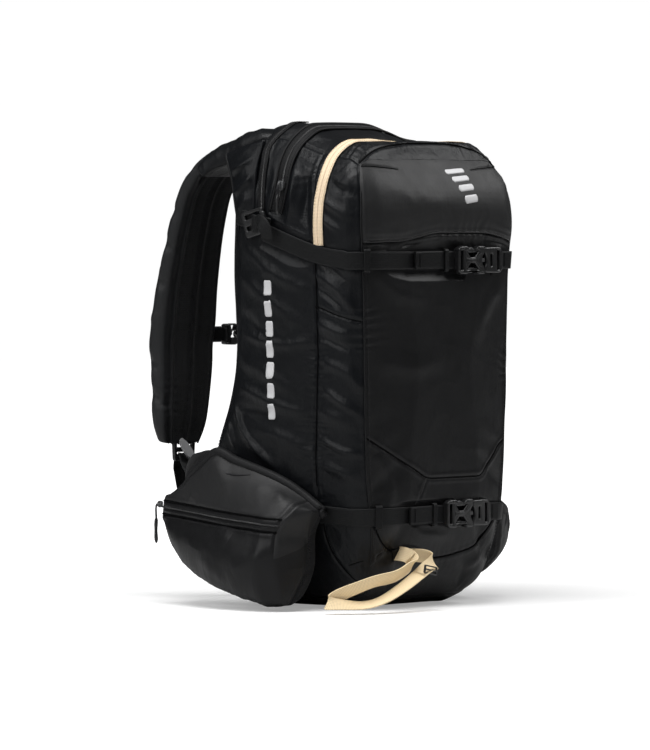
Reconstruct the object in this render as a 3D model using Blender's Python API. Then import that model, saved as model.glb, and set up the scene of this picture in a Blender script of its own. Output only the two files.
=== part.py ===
"""Avalanche airbag backpack, 32 litre class, with an electric fan inflation unit.

Frame: metres, +Z up, origin at the centre of the flat base.  -Y is the outer face of the pack,
called its front here; +Y is the wearer's side.  The wearer faces +Y, so the wearer's left is -X.
"""
import math

import bmesh
import bpy
from mathutils import Matrix, Vector

for old in list(bpy.data.objects):
    bpy.data.objects.remove(old, do_unlink=True)

# ------------------------------------------------------------------ driving dimensions
# the bag starts as a rounded box, which warp() turns into the tapered shape
HALF_WIDTH, HALF_DEPTH, HEIGHT = .154, .1075, .585
ROUND_X, ROUND_Y = .038, .028             # edge roundings across and along
ROUND_TOP, ROUND_BASE = .062, .040
POCKET_Z = .440                           # lower seam of the goggle pocket

SKIN = .0025                              # bag fabric with its lining
SEAM = .0010                              # half gap left at a seam
FOAM = .012                               # back pad thickness
WEB = .0016                               # webbing thickness

# (z, half width) at the front and at the wearer's side
FRONT_HALF = [
    (0, .092), (.03, .108), (.06, .116), (.10, .125), (.16, .134), (.24, .138),
    (.31, .140), (.40, .143), (.47, .149), (.53, .144), (.56, .136), (.585, .124)]
BACK_HALF = [
    (0, .122), (.03, .138), (.06, .146), (.12, .152), (.20, .152), (.30, .152),
    (.40, .154), (.47, .157), (.53, .153), (.56, .145), (.585, .132)]
# (z, y) of the front and of the wearer's side
FRONT_Y = [
    (0, -.062), (.03, -.086), (.06, -.098), (.10, -.1065), (.16, -.107),
    (.24, -.107), (.40, -.107), (.47, -.107), (.53, -.101), (.585, -.088)]
BACK_Y = [
    (0, .095), (.03, .108), (.08, .117), (.15, .122), (.20, .121), (.25, .114), (.30, .106),
    (.34, .106), (.40, .108), (.47, .104), (.53, .102), (.56, .096), (.585, .084)]
# (fraction of the depth from the front, z of the top)
TOP_Z = [(0, .556), (.35, .566), (.70, .585), (1, .578)]
TOP_BLEND_Z = .42                         # the slope of the top fades in from here up

STRAP_HINGE = Vector((0, .114, .530))     # shoulder straps turn about X here
HIP_HINGE = (-.147, -.031, .10)           # left hip wing turns about Z here

# paired pieces are described on the left; the factor mirrors x for the right
SIDES = (("left", 1), ("right", -1))
X_AXIS = Vector((1, 0, 0))
Y_AXIS = Vector((0, 1, 0))
Z_AXIS = Vector((0, 0, 1))


# ------------------------------------------------------------------ materials
def material(name, color, roughness, metallic=0.0):
    mat = bpy.data.materials.new(name)
    mat.use_nodes = True
    shader = mat.node_tree.nodes["Principled BSDF"]
    shader.inputs["Base Color"].default_value = (*color, 1)
    shader.inputs["Roughness"].default_value = roughness
    shader.inputs["Metallic"].default_value = metallic
    mat.diffuse_color = (*color, 1)
    return mat


FABRIC = material("bag_fabric", color=(.018, .019, .020), roughness=.55)
COATED = material("coated_fabric", color=(.028, .028, .029), roughness=.45)
LINING = material("mesh_foam", color=(.008, .008, .010), roughness=.9)
WEBBING = material("webbing", color=(.012, .013, .013), roughness=.7)
CREAM = material("cream_webbing", color=(.72, .55, .33), roughness=.7)
CREAM_ZIP = material("cream_zip", color=(.80, .66, .46), roughness=.7)
PLASTIC = material("black_plastic", color=(.018, .018, .019), roughness=.4)
GREY_PLASTIC = material("grey_plastic", color=(.22, .22, .23), roughness=.5)
ALU = material("aluminium", color=(.72, .73, .75), roughness=.35, metallic=1.0)
HDPE = material("hdpe_sheet", color=(.75, .76, .76), roughness=.5)
NYLON = material("airbag_nylon", color=(.85, .22, .05), roughness=.6)
CELL = material("battery_wrap", color=(.75, .62, .18), roughness=.4)
PCB = material("circuit_board", color=(.02, .18, .08), roughness=.5)
RED = material("signal_red", color=(.75, .04, .03), roughness=.45)


# ------------------------------------------------------------------ paths and tables
def neighbours(rows, i):
    """Items before and after i, or item i itself at an end."""
    return rows[max(i - 1, 0)], rows[min(i + 1, len(rows) - 1)]


def tangent(path, i):
    before, after = neighbours(path, i)
    return (after - before).normalized()


def mirrored(side, point):
    x, y, z = point
    return Vector((side * x, y, z))


def mirrored_back(points):
    """The points mirrored in x, in reverse order, to complete a symmetric path."""
    return [mirrored(-1, p) for p in reversed(points)]


def interpolate(rows, x):
    """Smooth (cubic Hermite) interpolation through (x, y) rows."""
    if x <= rows[0][0]:
        return rows[0][1]

    def slope(i):
        before, after = neighbours(rows, i)
        return (after[1] - before[1]) / (after[0] - before[0])

    for i in range(len(rows) - 1):
        x0, y0 = rows[i]
        x1, y1 = rows[i + 1]
        if x <= x1:
            step = x1 - x0
            t = (x - x0) / step
            return ((2 * t ** 3 - 3 * t * t + 1) * y0
                    + (t ** 3 - 2 * t * t + t) * slope(i) * step
                    + (-2 * t ** 3 + 3 * t * t) * y1
                    + (t ** 3 - t * t) * slope(i + 1) * step)
    return rows[-1][1]


def smoothstep(start, end, x):
    t = min(1, max(0, (x - start) / (end - start)))
    return t * t * (3 - 2 * t)


def curve_through(points, steps):
    """Catmull-Rom curve through the points, with this many steps between each two."""
    points = [Vector(p) for p in points]
    curve = []
    for i in range(len(points) - 1):
        p1, p2 = points[i], points[i + 1]
        p0 = points[max(i - 1, 0)]
        p3 = points[min(i + 2, len(points) - 1)]
        for k in range(steps):
            t = k / steps
            curve.append(.5 * ((2 * p1) + (p2 - p0) * t
                               + (2 * p0 - 5 * p1 + 4 * p2 - p3) * t * t
                               + (3 * p1 - p0 - 3 * p2 + p3) * t ** 3))
    curve.append(points[-1])
    return curve


# ------------------------------------------------------------------ the pack's surface
def warp(q):
    """From the plain rounded box to the pack's tapered shape."""
    back = (q.y + HALF_DEPTH) / (2 * HALF_DEPTH)      # 0 at the front, 1 at the wearer's side
    half = (1 - back) * interpolate(FRONT_HALF, q.z) + back * interpolate(BACK_HALF, q.z)
    y = (1 - back) * interpolate(FRONT_Y, q.z) + back * interpolate(BACK_Y, q.z)
    rise = interpolate(TOP_Z, back) - HEIGHT
    z = q.z + rise * smoothstep(TOP_BLEND_Z, HEIGHT, q.z)
    return Vector((q.x / HALF_WIDTH * half, y, z))


def pack_point(p, lift=0.0):
    """Pack surface point for p on the box, raised by lift along the normal, and the normal."""
    core_x, core_y = HALF_WIDTH - ROUND_X, HALF_DEPTH - ROUND_Y
    core = Vector((min(max(p.x, -core_x), core_x),
                   min(max(p.y, -core_y), core_y),
                   min(max(p.z, ROUND_BASE), HEIGHT - ROUND_TOP)))
    radii = (ROUND_X, ROUND_Y, ROUND_TOP if p.z > HEIGHT / 2 else ROUND_BASE)
    unit = Vector([(p[k] - core[k]) / radii[k] for k in range(3)]).normalized()
    on_box = Vector([core[k] + radii[k] * unit[k] for k in range(3)])
    box_normal = Vector([unit[k] / radii[k] for k in range(3)]).normalized()

    # normals follow the inverse transpose of the warp's Jacobian J; these rows are J's columns
    here = warp(on_box)
    delta = 1e-4
    jacobian_t = Matrix([(warp(on_box + axis * delta) - here) / delta
                         for axis in (X_AXIS, Y_AXIS, Z_AXIS)])
    normal = (jacobian_t.inverted() @ box_normal).normalized()
    return here + normal * lift, normal


# ------------------------------------------------------------------ solids
def add(name, bm, mat, pivot=None):
    """Object from a bmesh in world coordinates; its origin is pivot or the bounds' centre."""
    bmesh.ops.recalc_face_normals(bm, faces=bm.faces)
    if bm.calc_volume(signed=True) < 0:
        bmesh.ops.reverse_faces(bm, faces=bm.faces)
    if pivot is None:
        low = Vector([min(v.co[k] for v in bm.verts) for k in range(3)])
        high = Vector([max(v.co[k] for v in bm.verts) for k in range(3)])
        pivot = (low + high) / 2
    pivot = Vector(pivot)
    bmesh.ops.translate(bm, verts=bm.verts, vec=-pivot)
    mesh = bpy.data.meshes.new(name)
    bm.to_mesh(mesh)
    bm.free()
    mesh.shade_smooth()
    mesh.set_sharp_from_angle(angle=math.radians(32))
    mesh.materials.append(mat)
    ob = bpy.data.objects.new(name, mesh)
    ob.location = pivot
    bpy.context.scene.collection.objects.link(ob)
    return ob


def boolean(ob, tool, operation):
    tool.hide_render = True
    tool.display_type = "WIRE"
    mod = ob.modifiers.new(operation.title() + "_" + tool.name, "BOOLEAN")
    mod.operation = operation
    mod.object = tool
    mod.solver = "EXACT"


def cut(ob, bm, label=None):
    boolean(ob, add("cut_" + (label or ob.name), bm, PLASTIC), "DIFFERENCE")


def join(ob, bm, label=None, mat=PLASTIC):
    boolean(ob, add("join_" + (label or ob.name), bm, mat), "UNION")


def box(size, centre, bevel=0.0, segments=1, turn=None):
    bm = bmesh.new()
    bmesh.ops.create_cube(bm, size=1)
    bmesh.ops.scale(bm, verts=bm.verts, vec=size)
    if bevel:
        bmesh.ops.bevel(bm, geom=bm.edges[:] + bm.verts[:], offset=bevel, segments=segments,
                        affect="EDGES", profile=.5, clamp_overlap=True)
    if turn is not None:
        bmesh.ops.transform(bm, matrix=turn.to_4x4(), verts=bm.verts)
    bmesh.ops.translate(bm, verts=bm.verts, vec=centre)
    return bm


AXIS_TURN = {"Z": Matrix.Identity(4),
             "X": Matrix.Rotation(math.pi / 2, 4, "Y"),
             "Y": Matrix.Rotation(-math.pi / 2, 4, "X")}


def cylinder(radius, length, centre, axis, segments):
    bm = bmesh.new()
    bmesh.ops.create_cone(bm, cap_ends=True, segments=segments,
                          radius1=radius, radius2=radius, depth=length)
    bmesh.ops.transform(bm, matrix=AXIS_TURN[axis], verts=bm.verts)
    bmesh.ops.translate(bm, verts=bm.verts, vec=centre)
    return bm


def loft(rings):
    """Closed solid through rings of equal point count, with capped ends."""
    bm = bmesh.new()
    made = [[bm.verts.new(p) for p in ring] for ring in rings]
    count = len(rings[0])
    for a, b in zip(made, made[1:]):
        for i in range(count):
            j = (i + 1) % count
            bm.faces.new((a[i], a[j], b[j], b[i]))
    bm.faces.new(made[0][::-1])
    bm.faces.new(made[-1])
    return bm


def ribbon(path, width, thick, sides):
    """Flat webbing along path; sides gives its width direction at each point."""
    rings = []
    for i, p in enumerate(path):
        along = tangent(path, i)
        normal = sides[i].normalized().cross(along).normalized()
        across = along.cross(normal).normalized() * (width / 2)
        out = normal * (thick / 2)
        rings.append([p - across - out, p + across - out, p + across + out, p - across + out])
    return loft(rings)


def tube(path, radius, segments=8):
    rings = []
    reference = Vector((.31, .55, .77))   # parallel to no part of the paths used
    for i, p in enumerate(path):
        along = tangent(path, i)
        u = along.cross(reference).normalized()
        v = along.cross(u).normalized()
        angles = [k * 2 * math.pi / segments for k in range(segments)]
        rings.append([p + (u * math.cos(a) + v * math.sin(a)) * radius for a in angles])
    return loft(rings)


# ------------------------------------------------------------------ bag: sewn panels
def stations(half, rounding):
    """Stations from -half to half, closer together inside the roundings."""
    flat = 4                              # equal steps between the roundings
    inner = [-half + rounding + 2 * (half - rounding) * i / flat for i in range(flat + 1)]
    return ([-half + SEAM, -half + rounding * .33, -half + rounding * .66] + inner
            + [half - rounding * .66, half - rounding * .33, half - SEAM])


def panel(name, mat, columns, rows, place, thick=SKIN):
    """Grid on the pack's surface, thickened inwards; place gives the box point of a station."""
    bm = bmesh.new()
    grid = [[bm.verts.new(pack_point(Vector(place(c, r)))[0]) for c in columns] for r in rows]
    for a, b in zip(grid, grid[1:]):
        for i in range(len(a) - 1):
            bm.faces.new((a[i], a[i + 1], b[i + 1], b[i]))
    mesh = bpy.data.meshes.new(name)
    bm.to_mesh(mesh)
    bm.free()
    mesh.shade_smooth()
    mesh.materials.append(mat)
    ob = bpy.data.objects.new(name, mesh)
    bpy.context.scene.collection.objects.link(ob)
    solidify = ob.modifiers.new("thickness", "SOLIDIFY")
    solidify.thickness = thick
    solidify.offset = -1
    return ob


xs = stations(HALF_WIDTH, ROUND_X)
ys = stations(HALF_DEPTH, ROUND_Y)
zs_low = [SEAM, ROUND_BASE * .33, ROUND_BASE * .66, ROUND_BASE]
zs_low += [ROUND_BASE + (POCKET_Z - SEAM - ROUND_BASE) * i / 7 for i in range(1, 8)]
zs_high = [POCKET_Z + SEAM, (POCKET_Z + HEIGHT - ROUND_TOP) / 2, HEIGHT - ROUND_TOP,
           HEIGHT - ROUND_TOP * .66, HEIGHT - ROUND_TOP * .33, HEIGHT - SEAM]
zs = zs_low + zs_high[1:]

# stations run so that every panel's faces point outwards
panel("front_panel", COATED, xs, zs_low, lambda x, z: (x, -HALF_DEPTH, z))
panel("goggle_pocket", COATED, xs, zs_high, lambda x, z: (x, -HALF_DEPTH, z))
panel("left_side_panel", FABRIC, ys[::-1], zs, lambda y, z: (-HALF_WIDTH, y, z))
panel("right_side_panel", FABRIC, ys, zs, lambda y, z: (HALF_WIDTH, y, z))
panel("top_panel", FABRIC, xs, ys, lambda x, y: (x, y, HEIGHT))
panel("base_panel", COATED, xs[::-1], ys, lambda x, y: (x, y, 0))
back_pad = panel("back_pad", LINING, xs[::-1], zs, lambda x, z: (x, HALF_DEPTH, z), FOAM)

# the trigger cable leaves the pack through a grommet hole in the back pad
CABLE_EXIT = (-.088, .095, .512)
cut(back_pad, cylinder(.0055, .06, CABLE_EXIT, "Y", 12))

# lumbar pad, standing on the wearer's side of the back pad
LUMBAR_LIFT = .0047
LUMBAR = [                                # z, half width, thickness
    (.055, .085, .004), (.075, .105, .012), (.12, .112, .017), (.17, .108, .014),
    (.20, .085, .005)]
LUMBAR_ACROSS = [(-1, .45), (-.5, 1), (0, 1), (.5, 1), (1, .45)]   # x and thickness factors
rings = []
for z, half, thick in LUMBAR:
    y = interpolate(BACK_Y, z) + LUMBAR_LIFT
    rings.append([Vector((u * half, y, z)) for u, _ in LUMBAR_ACROSS]
                 + [Vector((u * half, y + thick * v, z)) for u, v in reversed(LUMBAR_ACROSS)])
add("lumbar_pad", loft(rings), LINING)

# ------------------------------------------------------------------ frame
add("frame_sheet", box((.216, .0016, .425), (0, .0668, .2775)), HDPE)

# stay: a rod bent to an arch, here its left leg from the foot up
STAY_RADIUS = .0030
STAY_Y = .0724
STAY_LEG = [
    (-.078, STAY_Y, .075), (-.080, STAY_Y, .20), (-.080, STAY_Y, .34), (-.076, STAY_Y, .44),
    (-.045, STAY_Y, .475)]
stay_path = curve_through(STAY_LEG + mirrored_back(STAY_LEG), 4)
add("frame_stay", tube(stay_path, STAY_RADIUS), ALU)

# ------------------------------------------------------------------ zips over the pack
MAIN_ZIP_Y = .0115
TAPE_LOW, TAPE_HIGH = .0012, .0025        # the tape's two faces above the pack's surface
TAPE_STEP = .03


def over_pack(y, z_start):
    """Box points up the left side at depth y, across the top and down the right side."""
    left = []
    z = z_start
    while z < HEIGHT - ROUND_TOP:
        left.append(Vector((-HALF_WIDTH, y, z)))
        z += TAPE_STEP
    left += [Vector((-HALF_WIDTH, y, HEIGHT - ROUND_TOP * k)) for k in (1, .7, .45, .2, 0)]
    left += [Vector((-HALF_WIDTH + ROUND_X * k, y, HEIGHT)) for k in (.25, .6, 1)]
    left.append(Vector((-.06, y, HEIGHT)))
    return left + [Vector((0, y, HEIGHT))] + mirrored_back(left)


def zip_tape(name, y, z_start, width, mat):
    rings = []
    for p in over_pack(y, z_start):
        a, normal_a = pack_point(p - Y_AXIS * (width / 2))
        b, normal_b = pack_point(p + Y_AXIS * (width / 2))
        rings.append([a + normal_a * TAPE_LOW, b + normal_b * TAPE_LOW,
                      b + normal_b * TAPE_HIGH, a + normal_a * TAPE_HIGH])
    add(name, loft(rings), mat)


zip_tape("main_zip_tape", y=MAIN_ZIP_Y, z_start=.486, width=.016, mat=FABRIC)
zip_tape("tool_zip_tape", y=-.037, z_start=.4540, width=.020, mat=CREAM_ZIP)

# main zip pull, hanging on the left side
PULL_LENGTH = .030
pull_top = pack_point(Vector((-HALF_WIDTH, MAIN_ZIP_Y, .512)), lift=.0058)[0]
pull_centre = pull_top + Vector((-.0010, 0, -PULL_LENGTH / 2))
add("main_zip_pull", box((.0030, .0060, PULL_LENGTH), pull_centre, bevel=.001), PLASTIC, pull_top)

# ------------------------------------------------------------------ compression straps
STRAP_W = .022
STRAP_LIFT = .0018                        # underside of the webbing above the pack
UPPER_Z, LOWER_Z = .419, .113             # heights of the straps on the front


def wrap_strap(name, z_front, z_side, y_end, x_end):
    """Webbing from y_end on the left side, round the front corner, to x_end on the front.

    Returns the y of the centre line at the front end.
    """
    corner_y = -HALF_DEPTH + ROUND_Y
    points = []
    for k in range(6):
        f = k / 5
        points.append(Vector((-HALF_WIDTH, y_end + (corner_y - y_end) * f,
                              z_side + (z_front - z_side) * f)))
    points += [Vector((-HALF_WIDTH, -HALF_DEPTH + ROUND_Y * k, z_front)) for k in (.75, .5, .25)]
    points.append(Vector((-HALF_WIDTH + .001, -HALF_DEPTH, z_front)))
    points += [Vector((-HALF_WIDTH + ROUND_X * k, -HALF_DEPTH, z_front))
               for k in (.25, .5, .75, 1)]
    placed = [pack_point(p, STRAP_LIFT + WEB / 2) for p in points]
    path = [point for point, _ in placed]
    normals = [normal for _, normal in placed]
    end = path[-1].copy()
    end.x = x_end
    path.append(end)
    normals.append(normals[-1])
    rings = []
    for i, p in enumerate(path):
        across = normals[i].cross(tangent(path, i)).normalized() * (STRAP_W / 2)
        if across.z < 0:
            across = -across
        out = normals[i] * (WEB / 2)
        rings.append([p - across - out, p - across + out, p + across + out, p + across - out])
    add(name, loft(rings), WEBBING)
    return end.y


BUCKLE_W = .034                           # along Z
BUCKLE_T = .0095                          # along Y
SOCKET_SHARE = .58                        # the socket's share of the buckle's length
BUCKLE_SPLIT = .0016                      # gap between socket and plug base


def buckle(prefix, x0, x1, y_face, z):
    """Side-release buckle from x0 to x1, on the -Y side of y_face; the socket is at x0."""
    width, thick = BUCKLE_W, BUCKLE_T
    x_split = x0 + SOCKET_SHARE * (x1 - x0)
    x_plug = (x_split + x1) / 2
    socket_l, plug_l = x_split - x0, x1 - x_split
    y = y_face - thick / 2
    through = thick * 1.6                 # depth of the tools that cut right through

    socket = add(prefix + "_socket", box((socket_l, thick, width), ((x0 + x_split) / 2, y, z),
                                         bevel=.0024, segments=2), PLASTIC)
    # cavity for the prongs, open towards the plug
    cut(socket, box((socket_l * .80, thick * .56, width * .78),
                    (x_split - socket_l * .34, y, z)))
    # finger windows at bottom and top
    for k, up in enumerate((-1, 1)):
        cut(socket, box((socket_l * .30, through, width * .20),
                        (x_split - socket_l * .36, y, z + up * width * .47)), f"{prefix}_{k}")
    # slot for the webbing
    cut(socket, box((socket_l * .10, through, width * .70), (x0 + socket_l * .12, y, z)),
        prefix + "_slot")

    # plug: base bar, centre tongue, two prongs and a webbing slot
    plug = add(prefix + "_plug", box((plug_l - BUCKLE_SPLIT, thick * .92, width * .92),
                                     (x_plug + BUCKLE_SPLIT / 2, y, z),
                                     bevel=.0022, segments=2), PLASTIC, (x_plug, y, z))
    join(plug, box((socket_l * .55, thick * .34, width * .16), (x_split - socket_l * .18, y, z)))
    for k, up in enumerate((-1, 1)):
        join(plug, box((socket_l * .50, thick * .34, width * .12),
                       (x_split - socket_l * .15, y, z + up * width * .27)), f"{prefix}_{k}")
    cut(plug, box((plug_l * .22, through, width * .62), (x_split + plug_l * .42, y, z)),
        prefix + "_plug")


upper_y = wrap_strap("upper_strap", z_front=UPPER_Z, z_side=.461, y_end=.036, x_end=.034)
lower_y = wrap_strap("lower_strap", z_front=LOWER_Z, z_side=.120, y_end=.030, x_end=.014)
buckle("upper_buckle", x0=.0170, x1=.1000, y_face=upper_y - WEB / 2 - .0006, z=UPPER_Z)
buckle("lower_buckle", x0=-.0030, x1=.0770, y_face=lower_y - WEB / 2 - .0014, z=LOWER_Z)

# adjuster that holds the upper strap at the side, with two slots
ADJUSTER = Vector((-.1618, .0560, .4640))
ADJUSTER_TURN = Matrix.Rotation(math.radians(-14), 3, "X")
adjuster = add("upper_strap_adjuster", box((.0042, .036, .032), ADJUSTER, bevel=.0014,
                                           turn=ADJUSTER_TURN), PLASTIC)
for k, dy in enumerate((-.0085, .0085)):
    cut(adjuster, box((.02, .0050, .0235), ADJUSTER + ADJUSTER_TURN @ Vector((0, dy, 0)),
                      turn=ADJUSTER_TURN), f"adjuster_{k}")

# ------------------------------------------------------------------ haul handle
HAUL_HINGE = (0, .114, .548)
HAUL_LEFT = [(-.034, .114, .548), (-.034, .122, .562), (-.022, .128, .576)]
haul_path = curve_through(HAUL_LEFT + [(0, .130, .580)] + mirrored_back(HAUL_LEFT), 3)
haul_sides = [Vector((0, 1, .5))] * len(haul_path)
add("haul_handle", ribbon(haul_path, .018, .003, haul_sides), WEBBING, HAUL_HINGE)

# ------------------------------------------------------------------ ski loop and its slider
LOOP_HINGE = (-.045, -.1080, .066)
# x, y, z of the centre line and how far the webbing's width stands upright there
LOOP = [
    (-.0600, -.1075, .067, .9), (-.0610, -.1170, .058, .9), (-.0753, -.1215, .043, .9),
    (-.1070, -.1215, .0330, .85), (-.1320, -.1150, .0262, .6), (-.1520, -.0980, .0185, .25),
    (-.1600, -.0840, .0105, .1), (-.1630, -.0860, .0042, .1), (-.1530, -.1060, .0040, .2),
    (-.1313, -.1210, .0085, .6), (-.1042, -.1290, .0170, .85), (-.0692, -.1300, .0290, .9),
    (-.0415, -.1290, .0410, .9), (-.0250, -.1240, .0510, .9), (-.0240, -.1150, .0590, .9),
    (-.0300, -.1090, .0620, .9)]
loop_rows = curve_through(LOOP, 3)
loop_path = [row.xyz for row in loop_rows]
loop_sides = []
for i, row in enumerate(loop_rows):
    upright = min(.93, max(.05, row.w))
    along = tangent(loop_path, i)
    level = Z_AXIS.cross(along)
    # where the loop runs nearly upright, the level direction is taken as -Y
    level = -Y_AXIS if level.length < .2 else level.normalized()
    if level.y > 0:
        level = -level
    side = level * math.sqrt(1 - upright ** 2) + Z_AXIS * upright
    loop_sides.append((side - along * side.dot(along)).normalized())
add("ski_loop", ribbon(loop_path, .018, .0014, loop_sides), CREAM, LOOP_HINGE)
add("ski_loop_slider", box((.014, .0030, .025), (-.052, -.1375, .0365), bevel=.0008,
                           turn=Matrix.Rotation(math.radians(-24), 3, "Y")),
    GREY_PLASTIC, LOOP_HINGE)

# ------------------------------------------------------------------ airbag
# folded as an arch round the fan unit, here its left leg from the foot up
AIRBAG_Y = .0290
AIRBAG_LEG = [(-.112, AIRBAG_Y, .300), (-.112, AIRBAG_Y, .40), (-.098, AIRBAG_Y, .470),
              (-.055, AIRBAG_Y, .510)]
AIRBAG_HALF_W, AIRBAG_HALF_D = .0215, .0260   # half size in the arch's plane and along Y
AIRBAG_TAPER = .25                        # share of the width lost at the ends
AIRBAG_SQUARE = .7                        # exponent that squares up the round section
AIRBAG_SEGMENTS = 10


def squared(value):
    return math.copysign(abs(value) ** AIRBAG_SQUARE, value)


arch = curve_through(AIRBAG_LEG + [(0, AIRBAG_Y, .520)] + mirrored_back(AIRBAG_LEG), 2)
rings = []
for i, p in enumerate(arch):
    normal = tangent(arch, i).cross(Y_AXIS).normalized()
    from_middle = abs(i / (len(arch) - 1) - .5) * 2
    half = AIRBAG_HALF_W * (1 - AIRBAG_TAPER * from_middle ** 6)
    angles = [2 * math.pi * k / AIRBAG_SEGMENTS for k in range(AIRBAG_SEGMENTS)]
    rings.append([p + normal * half * squared(math.cos(a))
                  + Y_AXIS * AIRBAG_HALF_D * squared(math.sin(a)) for a in angles])
add("airbag", loft(rings), NYLON)

# ------------------------------------------------------------------ fan inflation unit
FAN = Vector((0, .0395, .362))            # centre of the housing; the fan turns about Y
FAN_RADIUS, FAN_DEPTH, FAN_WALL = .055, .046, .004
COVER_THICK, COVER_GAP = .0030, .0005
INTAKE_RADIUS = .024

# housing, open towards -Y, with the outlet at the top
housing = add("fan_housing", cylinder(FAN_RADIUS, FAN_DEPTH, FAN, "Y", 32), PLASTIC)
cut(housing, cylinder(FAN_RADIUS - FAN_WALL, FAN_DEPTH, FAN - Y_AXIS * .0030, "Y", 32))
cut(housing, box((.030, .028, .030), FAN + Vector((0, -.003, .050))), "fan_outlet")

# cover with three bars across the intake
cover_at = FAN - Y_AXIS * (FAN_DEPTH / 2 + COVER_GAP + COVER_THICK / 2)
cover = add("fan_cover", cylinder(FAN_RADIUS, COVER_THICK, cover_at, "Y", 32), PLASTIC)
cut(cover, cylinder(INTAKE_RADIUS, .010, cover_at, "Y", 24), "fan_intake")
for k in range(3):
    join(cover, box((.050, .0022, .0030), cover_at,
                    turn=Matrix.Rotation(math.radians(60 * k), 3, "Y")), f"fan_bar_{k}")

# motor, bored for the shaft
motor = add("motor", cylinder(.018, .0215, FAN + Y_AXIS * .0086, "Y", 24), ALU)
cut(motor, cylinder(.0032, .017, FAN + Y_AXIS * .0052, "Y", 12))

# impeller: swept blades on a disc, with the shaft that turns in the motor
BLADE_COUNT = 9
BLADE = [(.010, -.16), (.040, .30), (.040, .37), (.010, .16)]   # radius, angle in radians
BLADE_ENDS = (-.0080, -.0215)             # y at the disc and at the intake, from FAN
rings = []
for y in BLADE_ENDS:
    ring = []
    for k in range(BLADE_COUNT):
        base = 2 * math.pi * k / BLADE_COUNT
        ring += [FAN + Vector((r * math.cos(base + a), y, r * math.sin(base + a)))
                 for r, a in BLADE]
    rings.append(ring)
impeller = add("impeller", loft(rings), GREY_PLASTIC, FAN)
join(impeller, cylinder(.042, .0035, FAN - Y_AXIS * .00735, "Y", 36))
join(impeller, cylinder(.0027, .019, FAN + Y_AXIS * .0030, "Y", 12), "impeller_shaft", ALU)

# non-return valve between the fan outlet and the airbag; the flap turns at its +Y edge
VALVE = Vector((0, .0365, .447))
valve_body = add("valve_body", cylinder(.0205, .054, VALVE, "Z", 24), PLASTIC)
cut(valve_body, cylinder(.0175, .080, VALVE, "Z", 24))
flap_at = VALVE - Z_AXIS * .006
add("valve_flap", cylinder(.0157, .0016, flap_at, "Z", 20), RED, flap_at + Y_AXIS * .0160)

# release lever, pulled by the trigger cable
LEVER = Vector((-.0665, .030, .330))
add("release_lever", box((.0075, .004, .030), LEVER + Z_AXIS * .0105, bevel=.0012), ALU, LEVER)

# supercapacitors: three cans between two end plates
CANS = Vector((0, .0455, .243))
CAN_RADIUS, CAN_LENGTH, CAN_PITCH = .0175, .076, .038
CAN_PLATE = (.116, .0385, .004)
plate_rise = Z_AXIS * (CAN_LENGTH / 2)
capacitors = add("supercapacitors", box(CAN_PLATE, CANS - plate_rise, bevel=.0008), PLASTIC)
for k in range(3):
    can_at = CANS + X_AXIS * (CAN_PITCH * (k - 1))
    join(capacitors, cylinder(CAN_RADIUS, CAN_LENGTH, can_at, "Z", 20), f"can_{k}")
join(capacitors, box(CAN_PLATE, CANS + plate_rise, bevel=.0008), "can_plate")

# control board and its power button
BOARD_Z = .170
add("control_board", box((.070, .0016, .040), (0, .0610, BOARD_Z)), PCB)
add("power_button", box((.010, .0070, .010), (.018, .0540, BOARD_Z), bevel=.0010), RED)

# battery box, open towards -Y, with two cells and a door hinged at its lower edge
BATTERY_BOX = Vector((0, .0500, .115))
CELL_PITCH = .0164
DOOR_HINGE = (0, .0335, .0955)
battery_box = add("battery_box", box((.062, .0300, .040), BATTERY_BOX, bevel=.0012), PLASTIC)
cut(battery_box, box((.0565, .0300, .0350), BATTERY_BOX - Y_AXIS * .0030))
for k in range(2):
    cell_at = (0, .0515, BATTERY_BOX.z + CELL_PITCH * (k - .5))
    add(f"battery_{k + 1}", cylinder(.00725, .0505, cell_at, "X", 16), CELL)
add("battery_door", box((.062, .0020, .0385), (0, .0336, .1155), bevel=.0004),
    PLASTIC, DOOR_HINGE)

# trigger cable from the lever, past the airbag's +Y side and out through the back pad
CABLE = [
    (-.0740, .0300, .362), (-.0745, .0300, .395), (-.0760, .0480, .430), (-.0800, .0600, .470),
    (-.0860, .0615, .500), (-.0880, .0700, .5115), (-.0880, .0900, .5120),
    (-.0880, .1060, .5120)]
add("trigger_cable", tube(curve_through(CABLE, 3), .0024), PLASTIC)

# ------------------------------------------------------------------ shoulder straps
# y and z of the inner face, thickness, centre x, half width
STRAP = [
    (.121, .532, .019, -.092, .042), (.134, .538, .022, -.095, .043),
    (.150, .531, .024, -.098, .043), (.165, .518, .026, -.101, .043),
    (.1787, .498, .028, -.103, .043), (.1880, .472, .030, -.103, .044),
    (.1985, .435, .032, -.102, .046), (.2106, .384, .036, -.099, .049),
    (.2162, .342, .039, -.098, .051), (.2190, .313, .040, -.099, .050),
    (.2185, .283, .039, -.100, .049), (.2178, .233, .035, -.103, .041),
    (.2235, .205, .020, -.101, .026)]
# section: share of the half width, share of the thickness from the inner face
SECTION = [(-.50, .02), (.92, 0), (1, .20), (.93, .58), (.45, .86), (-.35, .98),
           (-.76, .80), (-1, .46), (-.95, .16)]
# left strap's lower webbing, from the hip up to the strap's end
LOWER_WEBBING = [(-.130, .1300, .092), (-.124, .150, .115), (-.110, .188, .142),
                 (-.105, .206, .152)]
LADDER_LOCK = (-.098, .2285, .1840)


def shoulder_strap(name, side):
    rings = []
    for i, (y, z, thick, x, half) in enumerate(STRAP):
        before, after = neighbours(STRAP, i)
        dy, dz = after[0] - before[0], after[1] - before[1]
        length = math.hypot(dy, dz)
        out_y, out_z = -dz / length, dy / length
        rings.append([Vector((side * (x + u * half), y + out_y * v * thick,
                              z + out_z * v * thick)) for u, v in SECTION])
    return add(name, loft(rings), FABRIC, STRAP_HINGE)


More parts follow.
